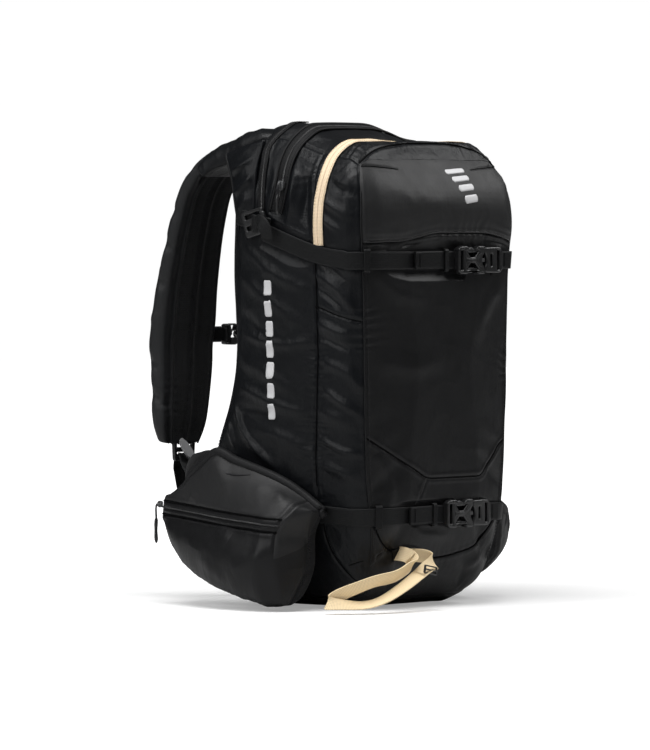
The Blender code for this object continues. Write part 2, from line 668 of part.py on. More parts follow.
def ladder_lock(name, side):
    """Plate with a lower and an upper webbing slot."""
    centre = mirrored(side, LADDER_LOCK)
    lock = add(name, box((.038, .0050, .026), centre, bevel=.0016), PLASTIC)
    cut(lock, box((.027, .02, .0045), centre - Z_AXIS * .0045))
    cut(lock, box((.027, .02, .0040), centre + Z_AXIS * .0060), "up_" + name)


straps = {}
for label, side in SIDES:
    straps[label] = shoulder_strap(label + "_shoulder_strap", side)
    ladder_lock(label + "_ladder_lock", side)
    path = [mirrored(side, p) for p in LOWER_WEBBING]
    add(label + "_strap_webbing", ribbon(path, .024, WEB, [X_AXIS] * len(path)), WEBBING)

# holster for the trigger handle, open at the lower end of the left strap
cut(straps["left"], box((.034, .060, .140), (-.100, .2640, .2300)))
HANDLE = Vector((-.100, .2425, .2550))
HANDLE_LENGTH = .074
add("trigger_handle", box((.027, .0135, HANDLE_LENGTH), HANDLE, bevel=.0045, segments=2),
    RED, HANDLE + Z_AXIS * (HANDLE_LENGTH / 2))

# ------------------------------------------------------------------ sternum strap
STERNUM_Y, STERNUM_Z = .2280, .326
STERNUM_W = .020


def sternum(x, dy=0.0):
    return Vector((x, STERNUM_Y + dy, STERNUM_Z))


for label, x, length in (("left", -.0340, .0200), ("right", .0368, .0170)):
    add("sternum_strap_" + label, box((length, WEB, STERNUM_W), sternum(x, .0070)), WEBBING)
socket = add("sternum_socket", box((.026, .0085, .026), sternum(-.0135), bevel=.0018), PLASTIC)
cut(socket, box((.022, .0050, .0200), sternum(-.0090)))
plug = add("sternum_plug", box((.020, .0080, .025), sternum(.0110), bevel=.0016), PLASTIC)
join(plug, box((.020, .0032, .0150), sternum(-.0080)))            # tongue
cut(plug, box((.0040, .02, .0205), sternum(.0165)))               # webbing slot

# ------------------------------------------------------------------ hip belt
WING_THICK = .010
# y, inner x, top z, bottom z
WING = [
    (-.030, -.1445, .140, .030), (-.005, -.1500, .153, .022), (.030, -.1570, .166, .020),
    (.075, -.1625, .180, .022), (.104, -.1660, .190, .035), (.140, -.1645, .160, .050),
    (.172, -.1570, .139, .072), (.198, -.1440, .130, .092)]
# y, back x, zip x, belly x, top z, zip z, bottom z
POUCH = [
    (-.062, -.156, -.170, -.172, .112, .106, .040),
    (-.045, -.160, -.1965, -.200, .122, .107, .006),
    (-.010, -.166, -.2025, -.211, .130, .108, .003),
    (.040, -.1735, -.1995, -.2130, .140, .111, .012),
    (.085, -.1775, -.1930, -.2090, .148, .114, .024),
    (.120, -.1780, -.1870, -.1990, .150, .117, .036),
    (.150, -.1745, -.1800, -.1890, .146, .119, .050),
    (.178, -.1674, -.1748, -.1797, .138, .121, .074),
    (.198, -.1565, -.1660, -.1670, .132, .122, .098)]
RIGHT_POUCH_MIN_Z = .010                  # the right pocket hangs a little higher
POCKET_PULL = (-.1770, .1930, .1215)
BELT_W, BELT_THICK = .038, .0018
BELT_PATH = [(-.1360, .2060, .110), (-.120, .2120, .109), (-.100, .2150, .108),
             (-.050, .2150, .108)]


def hip_wing(name, side):
    rings = []
    for i, (y, x, top, bottom) in enumerate(WING):
        before, after = neighbours(WING, i)
        outward = Vector((before[0] - after[0], after[1] - before[1], 0)).normalized()
        inner = [Vector((x, y, z)) for z in (bottom, (top + bottom) / 2, top)]
        outer = [p + outward * WING_THICK for p in reversed(inner)]
        rings.append([mirrored(side, p) for p in inner + outer])
    add(name, loft(rings), FABRIC, mirrored(side, HIP_HINGE))


def hip_pocket(name, side):
    rings = []
    for y, back_x, zip_x, belly_x, top, zip_z, bottom in POUCH:
        if side < 0:
            bottom = max(bottom, RIGHT_POUCH_MIN_Z)
        drop = zip_z - bottom
        ring = [(back_x, bottom), (back_x, top),
                (back_x + (zip_x - back_x) * .35, top - .002), (zip_x, zip_z),
                (belly_x, zip_z - drop * .35), (belly_x, bottom + drop * .25),
                (back_x + (belly_x - back_x) * .65, bottom)]
        rings.append([Vector((side * x, y, z)) for x, z in ring])
    add(name, loft(rings), COATED, mirrored(side, HIP_HINGE))


def pocket_zip_pull(name, side):
    """Slider block with a tab hanging on its outer side."""
    centre = mirrored(side, POCKET_PULL)
    slider = add(name, box((.0090, .0080, .0100), centre, bevel=.0012), PLASTIC)
    tab_at = centre + mirrored(side, (-.0055, 0, -.0240))
    join(slider, box((.0026, .0050, .046), tab_at, bevel=.0008))


for label, side in SIDES:
    hip_wing(label + "_hip_wing", side)
    hip_pocket(label + "_hip_pocket", side)
    pocket_zip_pull(label + "_pocket_zip_pull", side)
    path = [mirrored(side, p) for p in BELT_PATH]
    add(label + "_belt_webbing", ribbon(path, BELT_W, BELT_THICK, [Z_AXIS] * len(path)), WEBBING)

# hip buckle halves, facing each other, unclipped
BUCKLE_Y, BUCKLE_Z = .2225, .108
socket = add("hip_buckle_socket", box((.040, .011, .050), (-.0480, BUCKLE_Y, BUCKLE_Z),
                                      bevel=.0026, segments=2), ALU)
cut(socket, box((.032, .0060, .036), (-.0400, BUCKLE_Y, BUCKLE_Z)))
plug = add("hip_buckle_plug", box((.030, .0100, .048), (.0500, BUCKLE_Y, BUCKLE_Z),
                                  bevel=.0024, segments=2), ALU)
join(plug, box((.034, .0040, .030), (.0240, BUCKLE_Y, BUCKLE_Z)))

bpy.context.view_layer.update()
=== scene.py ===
"""Looks of the avalanche airbag backpack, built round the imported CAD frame.

Metres, +Z up.  -Y is the outer face of the pack, +Y the wearer's side, -X the wearer's left.
All padded and sewn parts share one cloth run.  Seams, folds, webbing, zips and mouldings are
then laid on the result.  In the functions below `out` is a path's outward direction, and
`side` is 1 for the wearer's left and -1 for the right.
"""
import math
from itertools import product

import bmesh
import bpy
import numpy as np
from mathutils import Matrix, Vector
from mathutils.bvhtree import BVHTree
from mathutils.kdtree import KDTree


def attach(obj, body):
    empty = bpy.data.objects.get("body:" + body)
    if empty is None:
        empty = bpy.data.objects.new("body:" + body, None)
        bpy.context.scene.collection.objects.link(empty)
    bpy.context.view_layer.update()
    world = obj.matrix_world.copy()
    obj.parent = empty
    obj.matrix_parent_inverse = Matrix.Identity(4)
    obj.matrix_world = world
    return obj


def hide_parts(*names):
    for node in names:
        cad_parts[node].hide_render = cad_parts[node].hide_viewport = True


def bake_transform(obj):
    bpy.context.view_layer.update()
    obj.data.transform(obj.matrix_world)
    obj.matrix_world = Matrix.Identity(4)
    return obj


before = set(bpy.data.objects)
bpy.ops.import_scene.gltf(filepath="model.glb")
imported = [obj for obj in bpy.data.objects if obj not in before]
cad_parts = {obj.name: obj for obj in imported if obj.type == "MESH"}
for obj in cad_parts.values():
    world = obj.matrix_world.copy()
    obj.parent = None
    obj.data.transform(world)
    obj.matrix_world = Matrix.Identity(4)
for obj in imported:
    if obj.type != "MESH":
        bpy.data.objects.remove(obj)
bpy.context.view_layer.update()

COLLECTION = bpy.context.scene.collection
SIDES = (("left", 1), ("right", -1))

# ===================================================== the bag's surface, as in the CAD
# The bag is a rounded parameter box that warp() bends to its real outline.
HALF_X, HALF_Y, HEIGHT = .154, .1075, .585
ROUND_X, ROUND_Y, ROUND_TOP, ROUND_BASE = .038, .028, .062, .040
# (z, half width) at the front and back, (z, y) of both faces
FRONT_HALF = [(0, .092), (.03, .108), (.06, .116), (.10, .125), (.16, .134), (.24, .138),
              (.31, .140), (.40, .143), (.47, .149), (.53, .144), (.56, .136), (.585, .124)]
BACK_HALF = [(0, .122), (.03, .138), (.06, .146), (.12, .152), (.20, .152), (.30, .152),
             (.40, .154), (.47, .157), (.53, .153), (.56, .145), (.585, .132)]
FRONT_Y = [(0, -.062), (.03, -.086), (.06, -.098), (.10, -.1065), (.16, -.107), (.24, -.107),
           (.40, -.107), (.47, -.107), (.53, -.101), (.585, -.088)]
BACK_Y = [(0, .095), (.03, .108), (.08, .117), (.15, .122), (.20, .121), (.25, .114), (.30, .106),
          (.34, .106), (.40, .108), (.47, .104), (.53, .102), (.56, .096), (.585, .084)]
TOP_Z = [(0, .556), (.35, .566), (.70, .585), (1, .578)]        # (share of depth, z)


def curve_at(rows, x):
    """A smooth curve through (x, value) rows, read at x."""
    xs, values = np.array(rows, float).T
    count = len(xs)
    before = np.maximum(np.arange(count) - 1, 0)
    after = np.minimum(np.arange(count) + 1, count - 1)
    slope = (values[after] - values[before]) / (xs[after] - xs[before])
    x = np.clip(np.asarray(x, float), xs[0], xs[-1])
    i = np.clip(np.searchsorted(xs, x, side="left") - 1, 0, count - 2)
    gap = xs[i + 1] - xs[i]
    t = (x - xs[i]) / gap
    return ((2 * t ** 3 - 3 * t * t + 1) * values[i] + (t ** 3 - 2 * t * t + t) * slope[i] * gap
            + (-2 * t ** 3 + 3 * t * t) * values[i + 1] + (t ** 3 - t * t) * slope[i + 1] * gap)


def smooth(start, end, x):
    t = np.clip((np.asarray(x, float) - start) / (end - start), 0, 1)
    return t * t * (3 - 2 * t)


def unit(v):
    return v / np.maximum(np.linalg.norm(v, axis=-1, keepdims=True), 1e-12)


def warp(box):
    """Places on the parameter box, bent to the bag's outline."""
    depth = (box[:, 1] + HALF_Y) / (2 * HALF_Y)        # 0 at the front, 1 at the back
    half = (1 - depth) * curve_at(FRONT_HALF, box[:, 2]) + depth * curve_at(BACK_HALF, box[:, 2])
    y = (1 - depth) * curve_at(FRONT_Y, box[:, 2]) + depth * curve_at(BACK_Y, box[:, 2])
    high = smooth(.42, HEIGHT, box[:, 2])
    z = box[:, 2] + (curve_at(TOP_Z, depth) - HEIGHT) * high
    # a drooping right shoulder, a full goggle pocket with a valley behind it, a fin at each hip
    u = box[:, 0] / HALF_X
    high = smooth(.46, HEIGHT, box[:, 2])
    z = z - (.0205 * smooth(-.05, .75, u) * smooth(.10, .42, depth)
             * (1 - .12 * smooth(.62, .9, depth)) * high)
    ridge = .0040 * np.exp(-((depth - .15) / .08) ** 2)
    valley = .0065 * np.exp(-((depth - .34) / .09) ** 2)
    z = z + (ridge - valley) * smooth(-.42, -.12, u) * high
    dome = np.sin(np.clip((box[:, 2] - .436) / .122, 0, 1) * math.pi) ** .9
    y = y - .0125 * np.clip(1 - depth, 0, 1) ** 3 * dome * (1 - np.clip(np.abs(u), 0, 1) ** 3)
    fin = np.exp(-((box[:, 2] - .178) / .052) ** 2)
    y = y + .040 * np.abs(u) ** 8 * np.clip(depth, 0, 1) ** 6 * fin
    return np.stack([u * half, y, z], 1)


def on_box(box, lift=0.0):
    """Surface places and outward directions of the bag for places on its parameter box."""
    box = np.atleast_2d(np.asarray(box, float))
    inset = np.array([HALF_X - ROUND_X, HALF_Y - ROUND_Y])
    core = np.clip(box, [*-inset, ROUND_BASE], [*inset, HEIGHT - ROUND_TOP])
    round_z = np.where(box[:, 2] > HEIGHT / 2, ROUND_TOP, ROUND_BASE)
    radii = np.stack([np.full(len(box), ROUND_X), np.full(len(box), ROUND_Y), round_z], 1)
    ball = unit((box - core) / radii)
    box = core + radii * ball
    here, step = warp(box), 1e-4
    jacobian = np.stack([(warp(box + np.eye(3)[k] * step) - here) / step for k in range(3)], 2)
    out = np.linalg.solve(np.transpose(jacobian, (0, 2, 1)), (ball / radii)[:, :, None])
    out = unit(out[:, :, 0])
    return here + out * lift, out


# ===================================================== noise and paths
def noise3(place, seed=0):
    """Smooth value noise in -1..1, the same every run."""
    place = np.asarray(place, float)
    cell = np.floor(place).astype(np.int64)
    f = place - cell
    u = f * f * f * (f * (f * 6 - 15) + 10)
    total = np.zeros(len(place))
    for dx, dy, dz in product((0, 1), repeat=3):
        value = ((cell[:, 0] + dx) * 374761393 + (cell[:, 1] + dy) * 668265263
                 + (cell[:, 2] + dz) * 1440662683 + seed * 974634777)
        value = (value ^ (value >> 13)) * 1274126177
        value = value ^ (value >> 16)
        weight = ((u[:, 0] if dx else 1 - u[:, 0]) * (u[:, 1] if dy else 1 - u[:, 1])
                  * (u[:, 2] if dz else 1 - u[:, 2]))
        total += weight * ((value & 0xffffff) / 0xffffff * 2 - 1)
    return total


def arc(path):
    """Distance along a path at each of its points."""
    return np.r_[0, np.cumsum(np.linalg.norm(np.diff(path[:, :3], axis=0), axis=1))]


def resample(rows, step):
    """Even spacing; the first three columns are a place, any others follow along."""
    along = arc(rows)
    keep = np.r_[True, np.diff(along) > 1e-9]
    rows, along = rows[keep], along[keep]
    count = max(2, int(round(along[-1] / step)) + 1)
    spots = np.linspace(0, along[-1], count)
    return np.stack([np.interp(spots, along, rows[:, k]) for k in range(rows.shape[1])], 1)


def catmull(points, step):
    """Evenly spaced rows on a Catmull-Rom curve through the given rows."""
    rows = np.asarray(points, float)
    pieces = []
    last = len(rows) - 1
    for i in range(last):
        p0, p1, p2, p3 = rows[max(i - 1, 0)], rows[i], rows[i + 1], rows[min(i + 2, last)]
        t = np.linspace(0, 1, 24, endpoint=False)[:, None]
        pieces.append(.5 * ((2 * p1) + (p2 - p0) * t + (2 * p0 - 5 * p1 + 4 * p2 - p3) * t * t
                            + (3 * p1 - p0 - 3 * p2 + p3) * t ** 3))
    return resample(np.vstack(pieces + [rows[-1:]]), step)


def tangents(path):
    tang = np.zeros_like(path[:, :3])
    tang[1:-1] = path[2:, :3] - path[:-2, :3]
    tang[0], tang[-1] = path[1, :3] - path[0, :3], path[-1, :3] - path[-2, :3]
    return unit(tang)


def split(rows):
    return rows[:, :3], unit(rows[:, 3:])


def even(path, out, step):
    """A path and its directions at even steps."""
    return split(resample(np.hstack([path, out]), step))


def relax(rows, times, directions=False):
    """Smooths rows in place, holding both ends."""
    for _ in range(times):
        middle = rows[1:-1] * .5 + .25 * (rows[:-2] + rows[2:])
        rows[1:-1] = unit(middle) if directions else middle
    return rows


def mirror(rows):
    return [(-row[0], *row[1:]) for row in rows]


def sided(rows, side):
    """Rows measured on the wearer's left, mirrored for the right."""
    return rows if side > 0 else mirror(rows)


def sided_folds(folds, side):
    return [(sided(points, side), half, height) for points, half, height in folds]


def circle(count):
    return np.arange(count) * 2 * math.pi / count


def squared(wave, power):
    """A sine or cosine made boxier by a power below 1."""
    return np.sign(wave) * np.abs(wave) ** power


# ===================================================== materials
def shade(color, gain, add=0, most=math.inf):
    return tuple(min(most, c * gain + add) for c in color)


class Material:
    """One material's node tree."""

    def __init__(self, name):
        self.material = bpy.data.materials.new(name)
        self.material.use_nodes = True
        self.tree = self.material.node_tree
        self.shader = self.tree.nodes["Principled BSDF"]
        self.space = self.node("TexCoord").outputs

    def node(self, kind, **inputs):
        made = self.tree.nodes.new("ShaderNode" + kind)
        for name, value in inputs.items():
            self.put(made.inputs[name.replace("_", " ")], value)
        return made

    def put(self, socket, value):
        if isinstance(value, bpy.types.NodeSocket):
            self.tree.links.new(value, socket)
        elif isinstance(value, tuple) and socket.type == "RGBA":
            socket.default_value = (*value, 1)
        else:
            socket.default_value = value

    def math(self, operation, *values):
        made = self.node("Math")
        made.operation = operation
        for socket, value in zip(made.inputs, values if len(values) > 1 else (*values, 0.0)):
            self.put(socket, value)
        return made.outputs[0]

    def times(self, value, gain):
        return self.math("MULTIPLY", value, gain)

    def linear(self, value, gain, add):
        return self.math("MULTIPLY_ADD", value, gain, add)

    def xyz(self, space="Object"):
        return self.node("SeparateXYZ", Vector=self.space[space]).outputs

    def noise(self, scale, detail, rough, squeeze=None):
        source = self.space["Object"]
        if squeeze:
            source = self.node("Mapping", Scale=squeeze, Vector=source).outputs[0]
        return self.node("TexNoise", Scale=scale, Detail=detail, Roughness=rough,
                         Vector=source).outputs["Fac"]

    def mix(self, share, first, second):
        made = self.node("Mix")
        made.data_type = "RGBA"
        for index, value in ((0, share), (6, first), (7, second)):
            self.put(made.inputs[index], value)
        return made.outputs[2]

    def wave(self, value, pitch):
        """0..1 wave along a distance in metres."""
        return self.linear(self.math("SINE", self.times(value, 2 * math.pi / pitch)), .5, .5)

    def bump(self, *layers):
        """Each layer: (height socket, strength, distance)."""
        normal = None
        for height, strength, distance in layers:
            made = self.node("Bump", Strength=strength, Distance=distance, Height=height)
            if normal is not None:
                self.put(made.inputs["Normal"], normal)
            normal = made.outputs[0]
        self.put(self.shader.inputs["Normal"], normal)

    def finish(self, base, rough, metal=0.0, spec=.5, sheen=0.0, sheen_rough=.4):
        for name, value in (("Base Color", base), ("Roughness", rough), ("Metallic", metal),
                            ("Specular IOR Level", spec), ("Sheen Weight", sheen),
                            ("Sheen Roughness", sheen_rough)):
            self.put(self.shader.inputs[name], value)
        return self.material


def woven(name, color, rough, spec, weave, wrinkle, sheen=0.0):
    """Woven pack fabric: twill lines, yarn noise, soft creases and a little wear."""
    mat = Material(name)
    x, y, z = mat.xyz()
    flat = mat.math("ADD", x, y)
    cloth = mat.times(mat.wave(mat.math("ADD", flat, z), weave),
                      mat.wave(mat.math("SUBTRACT", flat, z), weave))
    yarn = mat.noise(scale=2600, detail=2, rough=.6)
    soft = mat.noise(scale=38, detail=4, rough=.55)
    crease = mat.noise(scale=95, detail=5, rough=.62, squeeze=(1, 1, .45))
    tone = mat.noise(scale=9, detail=3, rough=.5)
    base = mat.mix(tone, shade(color, gain=.78), shade(color, gain=1.28))
    base = mat.mix(mat.times(yarn, gain=.30), base, shade(color, gain=1.7, add=.004))
    gloss = mat.linear(soft, gain=.16, add=rough - .08)
    gloss = mat.linear(yarn, gain=.10, add=gloss)
    mat.bump((cloth, .22, .00012), (yarn, .18, .00018), (crease, wrinkle, .0022),
             (soft, wrinkle * .7, .0030))
    return mat.finish(base, gloss, spec=spec, sheen=sheen)


def spacer_mesh(name, color, cell):
    """3-D spacer mesh: round open cells, their hollows painted far darker than the fibres as shade.
    """
    mat = Material(name)
    cells = mat.node("TexVoronoi", Scale=1 / cell, Randomness=.35, Vector=mat.space["Object"])
    ramp = mat.node("ValToRGB", Fac=cells.outputs["Distance"])
    for stop, (position, grey) in zip(ramp.color_ramp.elements, ((.18, 0), (.42, 1))):
        stop.position = position
        stop.color = (grey, grey, grey, 1)
    hole = ramp.outputs[0]
    fluff = mat.noise(scale=3000, detail=2, rough=.6)
    soft = mat.noise(scale=30, detail=3, rough=.5)
    fibre = mat.mix(fluff, color, shade(color, gain=1.8, add=.004))
    # painted shade: the open cells are a quarter as bright as the fibres
    base = mat.mix(hole, shade(color, gain=.25), fibre)
    mat.bump((hole, .75, .0007), (fluff, .25, .0002), (soft, .15, .003))
    return mat.finish(base, mat.linear(fluff, gain=.1, add=.82), spec=.12, sheen=.04,
                      sheen_rough=.6)


def webbing(name, color, rough, spec):
    """Flat woven webbing, UV in metres: u along, v across (0 in the middle)."""
    mat = Material(name)
    u, v, _ = mat.xyz("UV")
    ribs = mat.wave(u, pitch=.0017)
    sway = mat.times(mat.wave(u, pitch=.0034), gain=.0004)
    cords = mat.wave(mat.math("ADD", v, sway), pitch=.0022)
    weave = mat.linear(ribs, gain=.6, add=mat.times(cords, gain=.5))
    yarn = mat.noise(scale=2400, detail=2, rough=.6)
    wear = mat.noise(scale=60, detail=4, rough=.6)
    # beyond this distance from the middle the webbing is drawn lighter
    lighter_edge_from = .0092
    edge = mat.math("GREATER_THAN", mat.math("ABSOLUTE", v), lighter_edge_from)
    # the weave's troughs are painted darker as shade and its crowns lighter as highlight
    base = mat.mix(weave, shade(color, gain=.62), shade(color, gain=1.22))
    base = mat.mix(mat.times(yarn, gain=.3), base, shade(color, gain=1.5, add=.003, most=1))
    base = mat.mix(mat.times(wear, gain=.25), base, shade(color, gain=.8))
    base = mat.mix(mat.times(edge, gain=.22), base, shade(color, gain=1.8, add=.006, most=1))
    mat.bump((weave, .55, .00035), (yarn, .25, .00015))
    return mat.finish(base, rough, spec=spec)


def moulded(name, color, rough, spec=.5):
    """Moulded plastic: fine spark texture, slight flow marks, scuffed sheen."""
    mat = Material(name)
    fine = mat.noise(scale=1900, detail=3, rough=.6)
    flow = mat.noise(scale=45, detail=4, rough=.6)
    base = mat.mix(flow, shade(color, gain=.85), shade(color, gain=1.18))
    gloss = mat.linear(flow, gain=.14, add=rough - .06)
    gloss = mat.linear(fine, gain=.10, add=gloss)
    mat.bump((fine, .16, .00012), (flow, .06, .0008))
    return mat.finish(base, gloss, spec=spec)


def metal(name, color, rough):
    """Brushed metal."""
    mat = Material(name)
    brush = mat.noise(scale=420, detail=4, rough=.7, squeeze=(1, .12, 1))
    spots = mat.noise(scale=60, detail=3, rough=.5)
    base = mat.mix(brush, shade(color, gain=.82), shade(color, gain=1.1, most=1))
    mat.bump((brush, .14, .00010))
    return mat.finish(base, mat.linear(spots, gain=.16, add=rough - .06), metal=1.0)


def plastic_sheet(name, color, rough):
    """Extruded sheet: faint lengthwise streaks."""
    mat = Material(name)
    streak = mat.noise(scale=90, detail=4, rough=.6, squeeze=(1, 1, .05))
    fine = mat.noise(scale=1500, detail=2, rough=.5)
    base = mat.mix(streak, shade(color, gain=.92), shade(color, gain=1.06, most=1))
    mat.bump((streak, .1, .0006), (fine, .1, .0001))
    return mat.finish(base, rough, spec=.4)


def circuit_board(name):
    """Circuit board: solder mask with copper traces and pads."""
    mat = Material(name)
    x, _, z = mat.xyz()
    flat = mat.node("CombineXYZ", X=x, Y=z).outputs[0]
    traces = mat.node("TexBrick", Scale=190, Mortar_Size=.018, Vector=flat).outputs["Fac"]
    dots = mat.node("TexVoronoi", Scale=220, Vector=mat.space["Object"]).outputs["Distance"]
    pad_radius = .22
    mask, trace, copper = (.012, .085, .035), (.03, .17, .07), (.62, .55, .32)
    base = mat.mix(traces, mask, trace)
    base = mat.mix(mat.math("LESS_THAN", dots, pad_radius), base, copper)
    mat.bump((traces, .2, .0002))
    return mat.finish(base, rough=.38)


def zip_coil(name, color):
    """Zip chain: teeth across a round bead, UV u along in metres."""
    mat = Material(name)
    teeth = mat.wave(mat.xyz("UV")[0], pitch=.0016)
    # painted shade in the gaps between the teeth and a painted highlight on their crowns
    base = mat.mix(teeth, shade(color, gain=.45), shade(color, gain=1.3, most=1))
    mat.bump((teeth, .9, .0005))
    return mat.finish(base, rough=.38)


def reflective_print(name):
    mat = Material(name)
    fine = mat.noise(scale=2200, detail=2, rough=.6)
    soft = mat.noise(scale=80, detail=3, rough=.5)
    mat.bump((fine, .2, .0001))
    return mat.finish(mat.mix(fine, (.46, .46, .47), (.66, .66, .67)),
                      mat.linear(soft, gain=.15, add=.38), spec=.6)


BAG_NYLON = woven("bag_nylon", (.0036, .0041, .005), rough=.3, spec=.15, weave=.0011, wrinkle=.42)
BAG_DARK = woven("bag_nylon_dark", (.0038, .0042, .005), rough=.36, spec=.16, weave=.0011,
                 wrinkle=.5)
COATED = woven("coated_satin", (.006, .0061, .0066), rough=.35, spec=.18, weave=.0008, wrinkle=.14)
# a lighter copy of the coated satin: painted light on the goggle pocket, the hip pockets' top
# panels and their end patches
COATED_PAINTED_LIT = woven("coated_satin_painted_lit", (.0098, .0099, .0104), rough=.46, spec=.26,
                     weave=.0008, wrinkle=.16)
STRAP_NYLON = woven("strap_nylon", (.0095, .0099, .0108), rough=.46, spec=.24, weave=.001,
                    wrinkle=.34)
AIRBAG_NYLON = woven("airbag_nylon_orange", (.72, .20, .045), rough=.52, spec=.4, weave=.0009,
                     wrinkle=.5, sheen=.1)
MESH_BLACK = spacer_mesh("spacer_mesh_black", (.0055, .0057, .0064), cell=.0026)
MESH_BACK = spacer_mesh("spacer_mesh_back", (.014, .0144, .0156), cell=.004)
MESH_SHADOW = spacer_mesh("spacer_mesh_shadow", (.0022, .0023, .0026), cell=.0026)
WEB_BLACK = webbing("webbing_black", (.0056, .0059, .0063), rough=.5, spec=.15)
WEB_CREAM = webbing("webbing_cream", (.86, .66, .42), rough=.7, spec=.15)
ZIP_CREAM = webbing("zip_cream", (.80, .62, .44), rough=.62, spec=.15)
ZIP_BLACK = webbing("zip_black", (.005, .0051, .0056), rough=.56, spec=.16)
BINDING = webbing("binding_black", (.0072, .0074, .008), rough=.55, spec=.18)
PIPING_SATIN = webbing("piping_satin", (.013, .013, .0136), rough=.42, spec=.3)
# near-black seam cords: raised seams, coloured darker than the fabric as painted shade in their
# grooves
SEAM_DARK = webbing("seam_shadow_black", (.0018, .0018, .002), rough=.75, spec=.04)
PLASTIC = moulded("acetal_black", (.01, .0102, .0108), rough=.3)
PLASTIC_GREY = moulded("acetal_grey", (.34, .34, .345), rough=.42)
PLASTIC_MID = moulded("acetal_mid", (.06, .061, .063), rough=.36)
THREAD = moulded("thread_black", (.0135, .0135, .015), rough=.6, spec=.2)
THREAD_CREAM = moulded("thread_cream", (.62, .50, .33), rough=.6, spec=.3)
TRIGGER_RED = moulded("trigger_red", (.52, .030, .022), rough=.38)
TRIGGER_RIB_RED = moulded("trigger_rib_red", (.42, .024, .018), rough=.45)
# two coils share a name; the darker one is made first and keeps it unnumbered
COIL_DARK = zip_coil("zip_coil_black", (.006, .006, .0066))
COIL_BLACK = zip_coil("zip_coil_black", (.0075, .0075, .0082))
COIL_CREAM = zip_coil("zip_coil_cream", (.70, .54, .38))
REFLECTIVE = reflective_print("reflective_print")


# ===================================================== mesh makers
def claim(ob, body=None, slot=None, node=None):
    if body:
        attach(ob, body)
    if node:
        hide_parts(node)
    return ob


def link(name, mesh):
    ob = bpy.data.objects.new(name, mesh)
    COLLECTION.objects.link(ob)
    return ob


def make(name, verts, faces, mat=None, uv=None, sharp=None):
    """A smooth-shaded object."""
    mesh = bpy.data.meshes.new(name)
    mesh.from_pydata([tuple(map(float, v)) for v in verts], [],
                     [tuple(int(i) for i in f) for f in faces])
    mesh.validate()
    if mat:
        mesh.materials.append(mat)
    if uv is not None:
        layer = mesh.uv_layers.new(name="UVMap")
        loops = np.empty(len(mesh.loops), np.int32)
        mesh.loops.foreach_get("vertex_index", loops)
        layer.data.foreach_set("uv", np.asarray(uv, np.float32)[loops].ravel())
    mesh.shade_smooth()
    if sharp:
        mesh.set_sharp_from_angle(angle=math.radians(sharp))
    return link(name, mesh)


def outward(ob):
    """Turns a closed mesh's faces outwards."""
    bm = bmesh.new()
    bm.from_mesh(ob.data)
    bmesh.ops.recalc_face_normals(bm, faces=bm.faces)
    if bm.calc_volume(signed=True) < 0:
        bmesh.ops.reverse_faces(bm, faces=bm.faces)
    bm.to_mesh(ob.data)
    bm.free()
    return ob


def sweep(rings, cap=True):
    """Vertices and faces through rings of equal count."""
    rings = np.asarray(rings)
    rows, count = rings.shape[:2]
    faces = []
    for k in range(rows - 1):
        low, high = k * count, (k + 1) * count
        for i in range(count):
            j = (i + 1) % count
            faces.append((low + i, low + j, high + j, high + i))
    if cap:
        faces.append(tuple(range(count))[::-1])
        faces.append(tuple((rows - 1) * count + i for i in range(count)))
    return rings.reshape(-1, 3), faces


def shrink(ring, share, dy=0):
    """A ring drawn in towards its middle."""
    ring = ring * (1 - share) + ring.mean(0) * share
    ring[:, 1] += dy
    return ring


def close_ends(rings, shares):
    """Rings with both ends rounded off by shrinking copies, the tightest given first."""
    return ([shrink(rings[0], share) for share in shares] + list(rings)
            + [shrink(rings[-1], share) for share in shares[::-1]])


def frames(path, out=None):
    """Outward and sideways directions along a path; without `out`, carried without twist."""
    tang = tangents(path)
    if out is None:
        carried = [unit(np.cross(tang[0], np.array([.31, .55, .77])))]
        for k in range(1, len(path)):
            carried.append(unit(carried[-1] - tang[k] * (carried[-1] @ tang[k])))
        out = np.array(carried)
    else:
        out = unit(out - tang * np.sum(out * tang, 1, keepdims=True))
    return out, np.cross(tang, out)


def tube(name, path, radius, mat, body=None, seg=8, out=None, squash=1.0, slot="webbing",
         node=None):
    """A round cord with rounded ends.  Without a body it is a part to be merged."""
    path = np.asarray(path, float)
    radii = np.broadcast_to(np.asarray(radius, float), len(path))
    tang = tangents(path)
    head = [path[0] - tang[0] * radii[0] * k for k in (.9, .6, 0)]
    tail = [path[-1] + tang[-1] * radii[-1] * k for k in (0, .6, .9)]
    path = np.vstack([head, path[1:-1], tail])
    radii = np.r_[radii[0] * .4, radii[0] * .8, radii[0], radii[1:-1],
                  radii[-1], radii[-1] * .8, radii[-1] * .4]
    if out is not None:
        out = np.vstack([out[:1]] * 3 + [out[1:-1]] + [out[-1:]] * 3)
    out, across = frames(path, out)
    angle = circle(seg)
    rings = [path[k] + radii[k] * (np.outer(np.cos(angle) * squash, out[k])
                                   + np.outer(np.sin(angle), across[k]))
             for k in range(len(path))]
    uv = np.stack([np.repeat(arc(path), seg),
                   np.tile(angle / (2 * math.pi) * .006, len(path))], 1)
    ob = make(name, *sweep(rings), mat, uv=uv)
    return claim(ob, body, slot, node) if body else ob


WEB_THICK = .0016


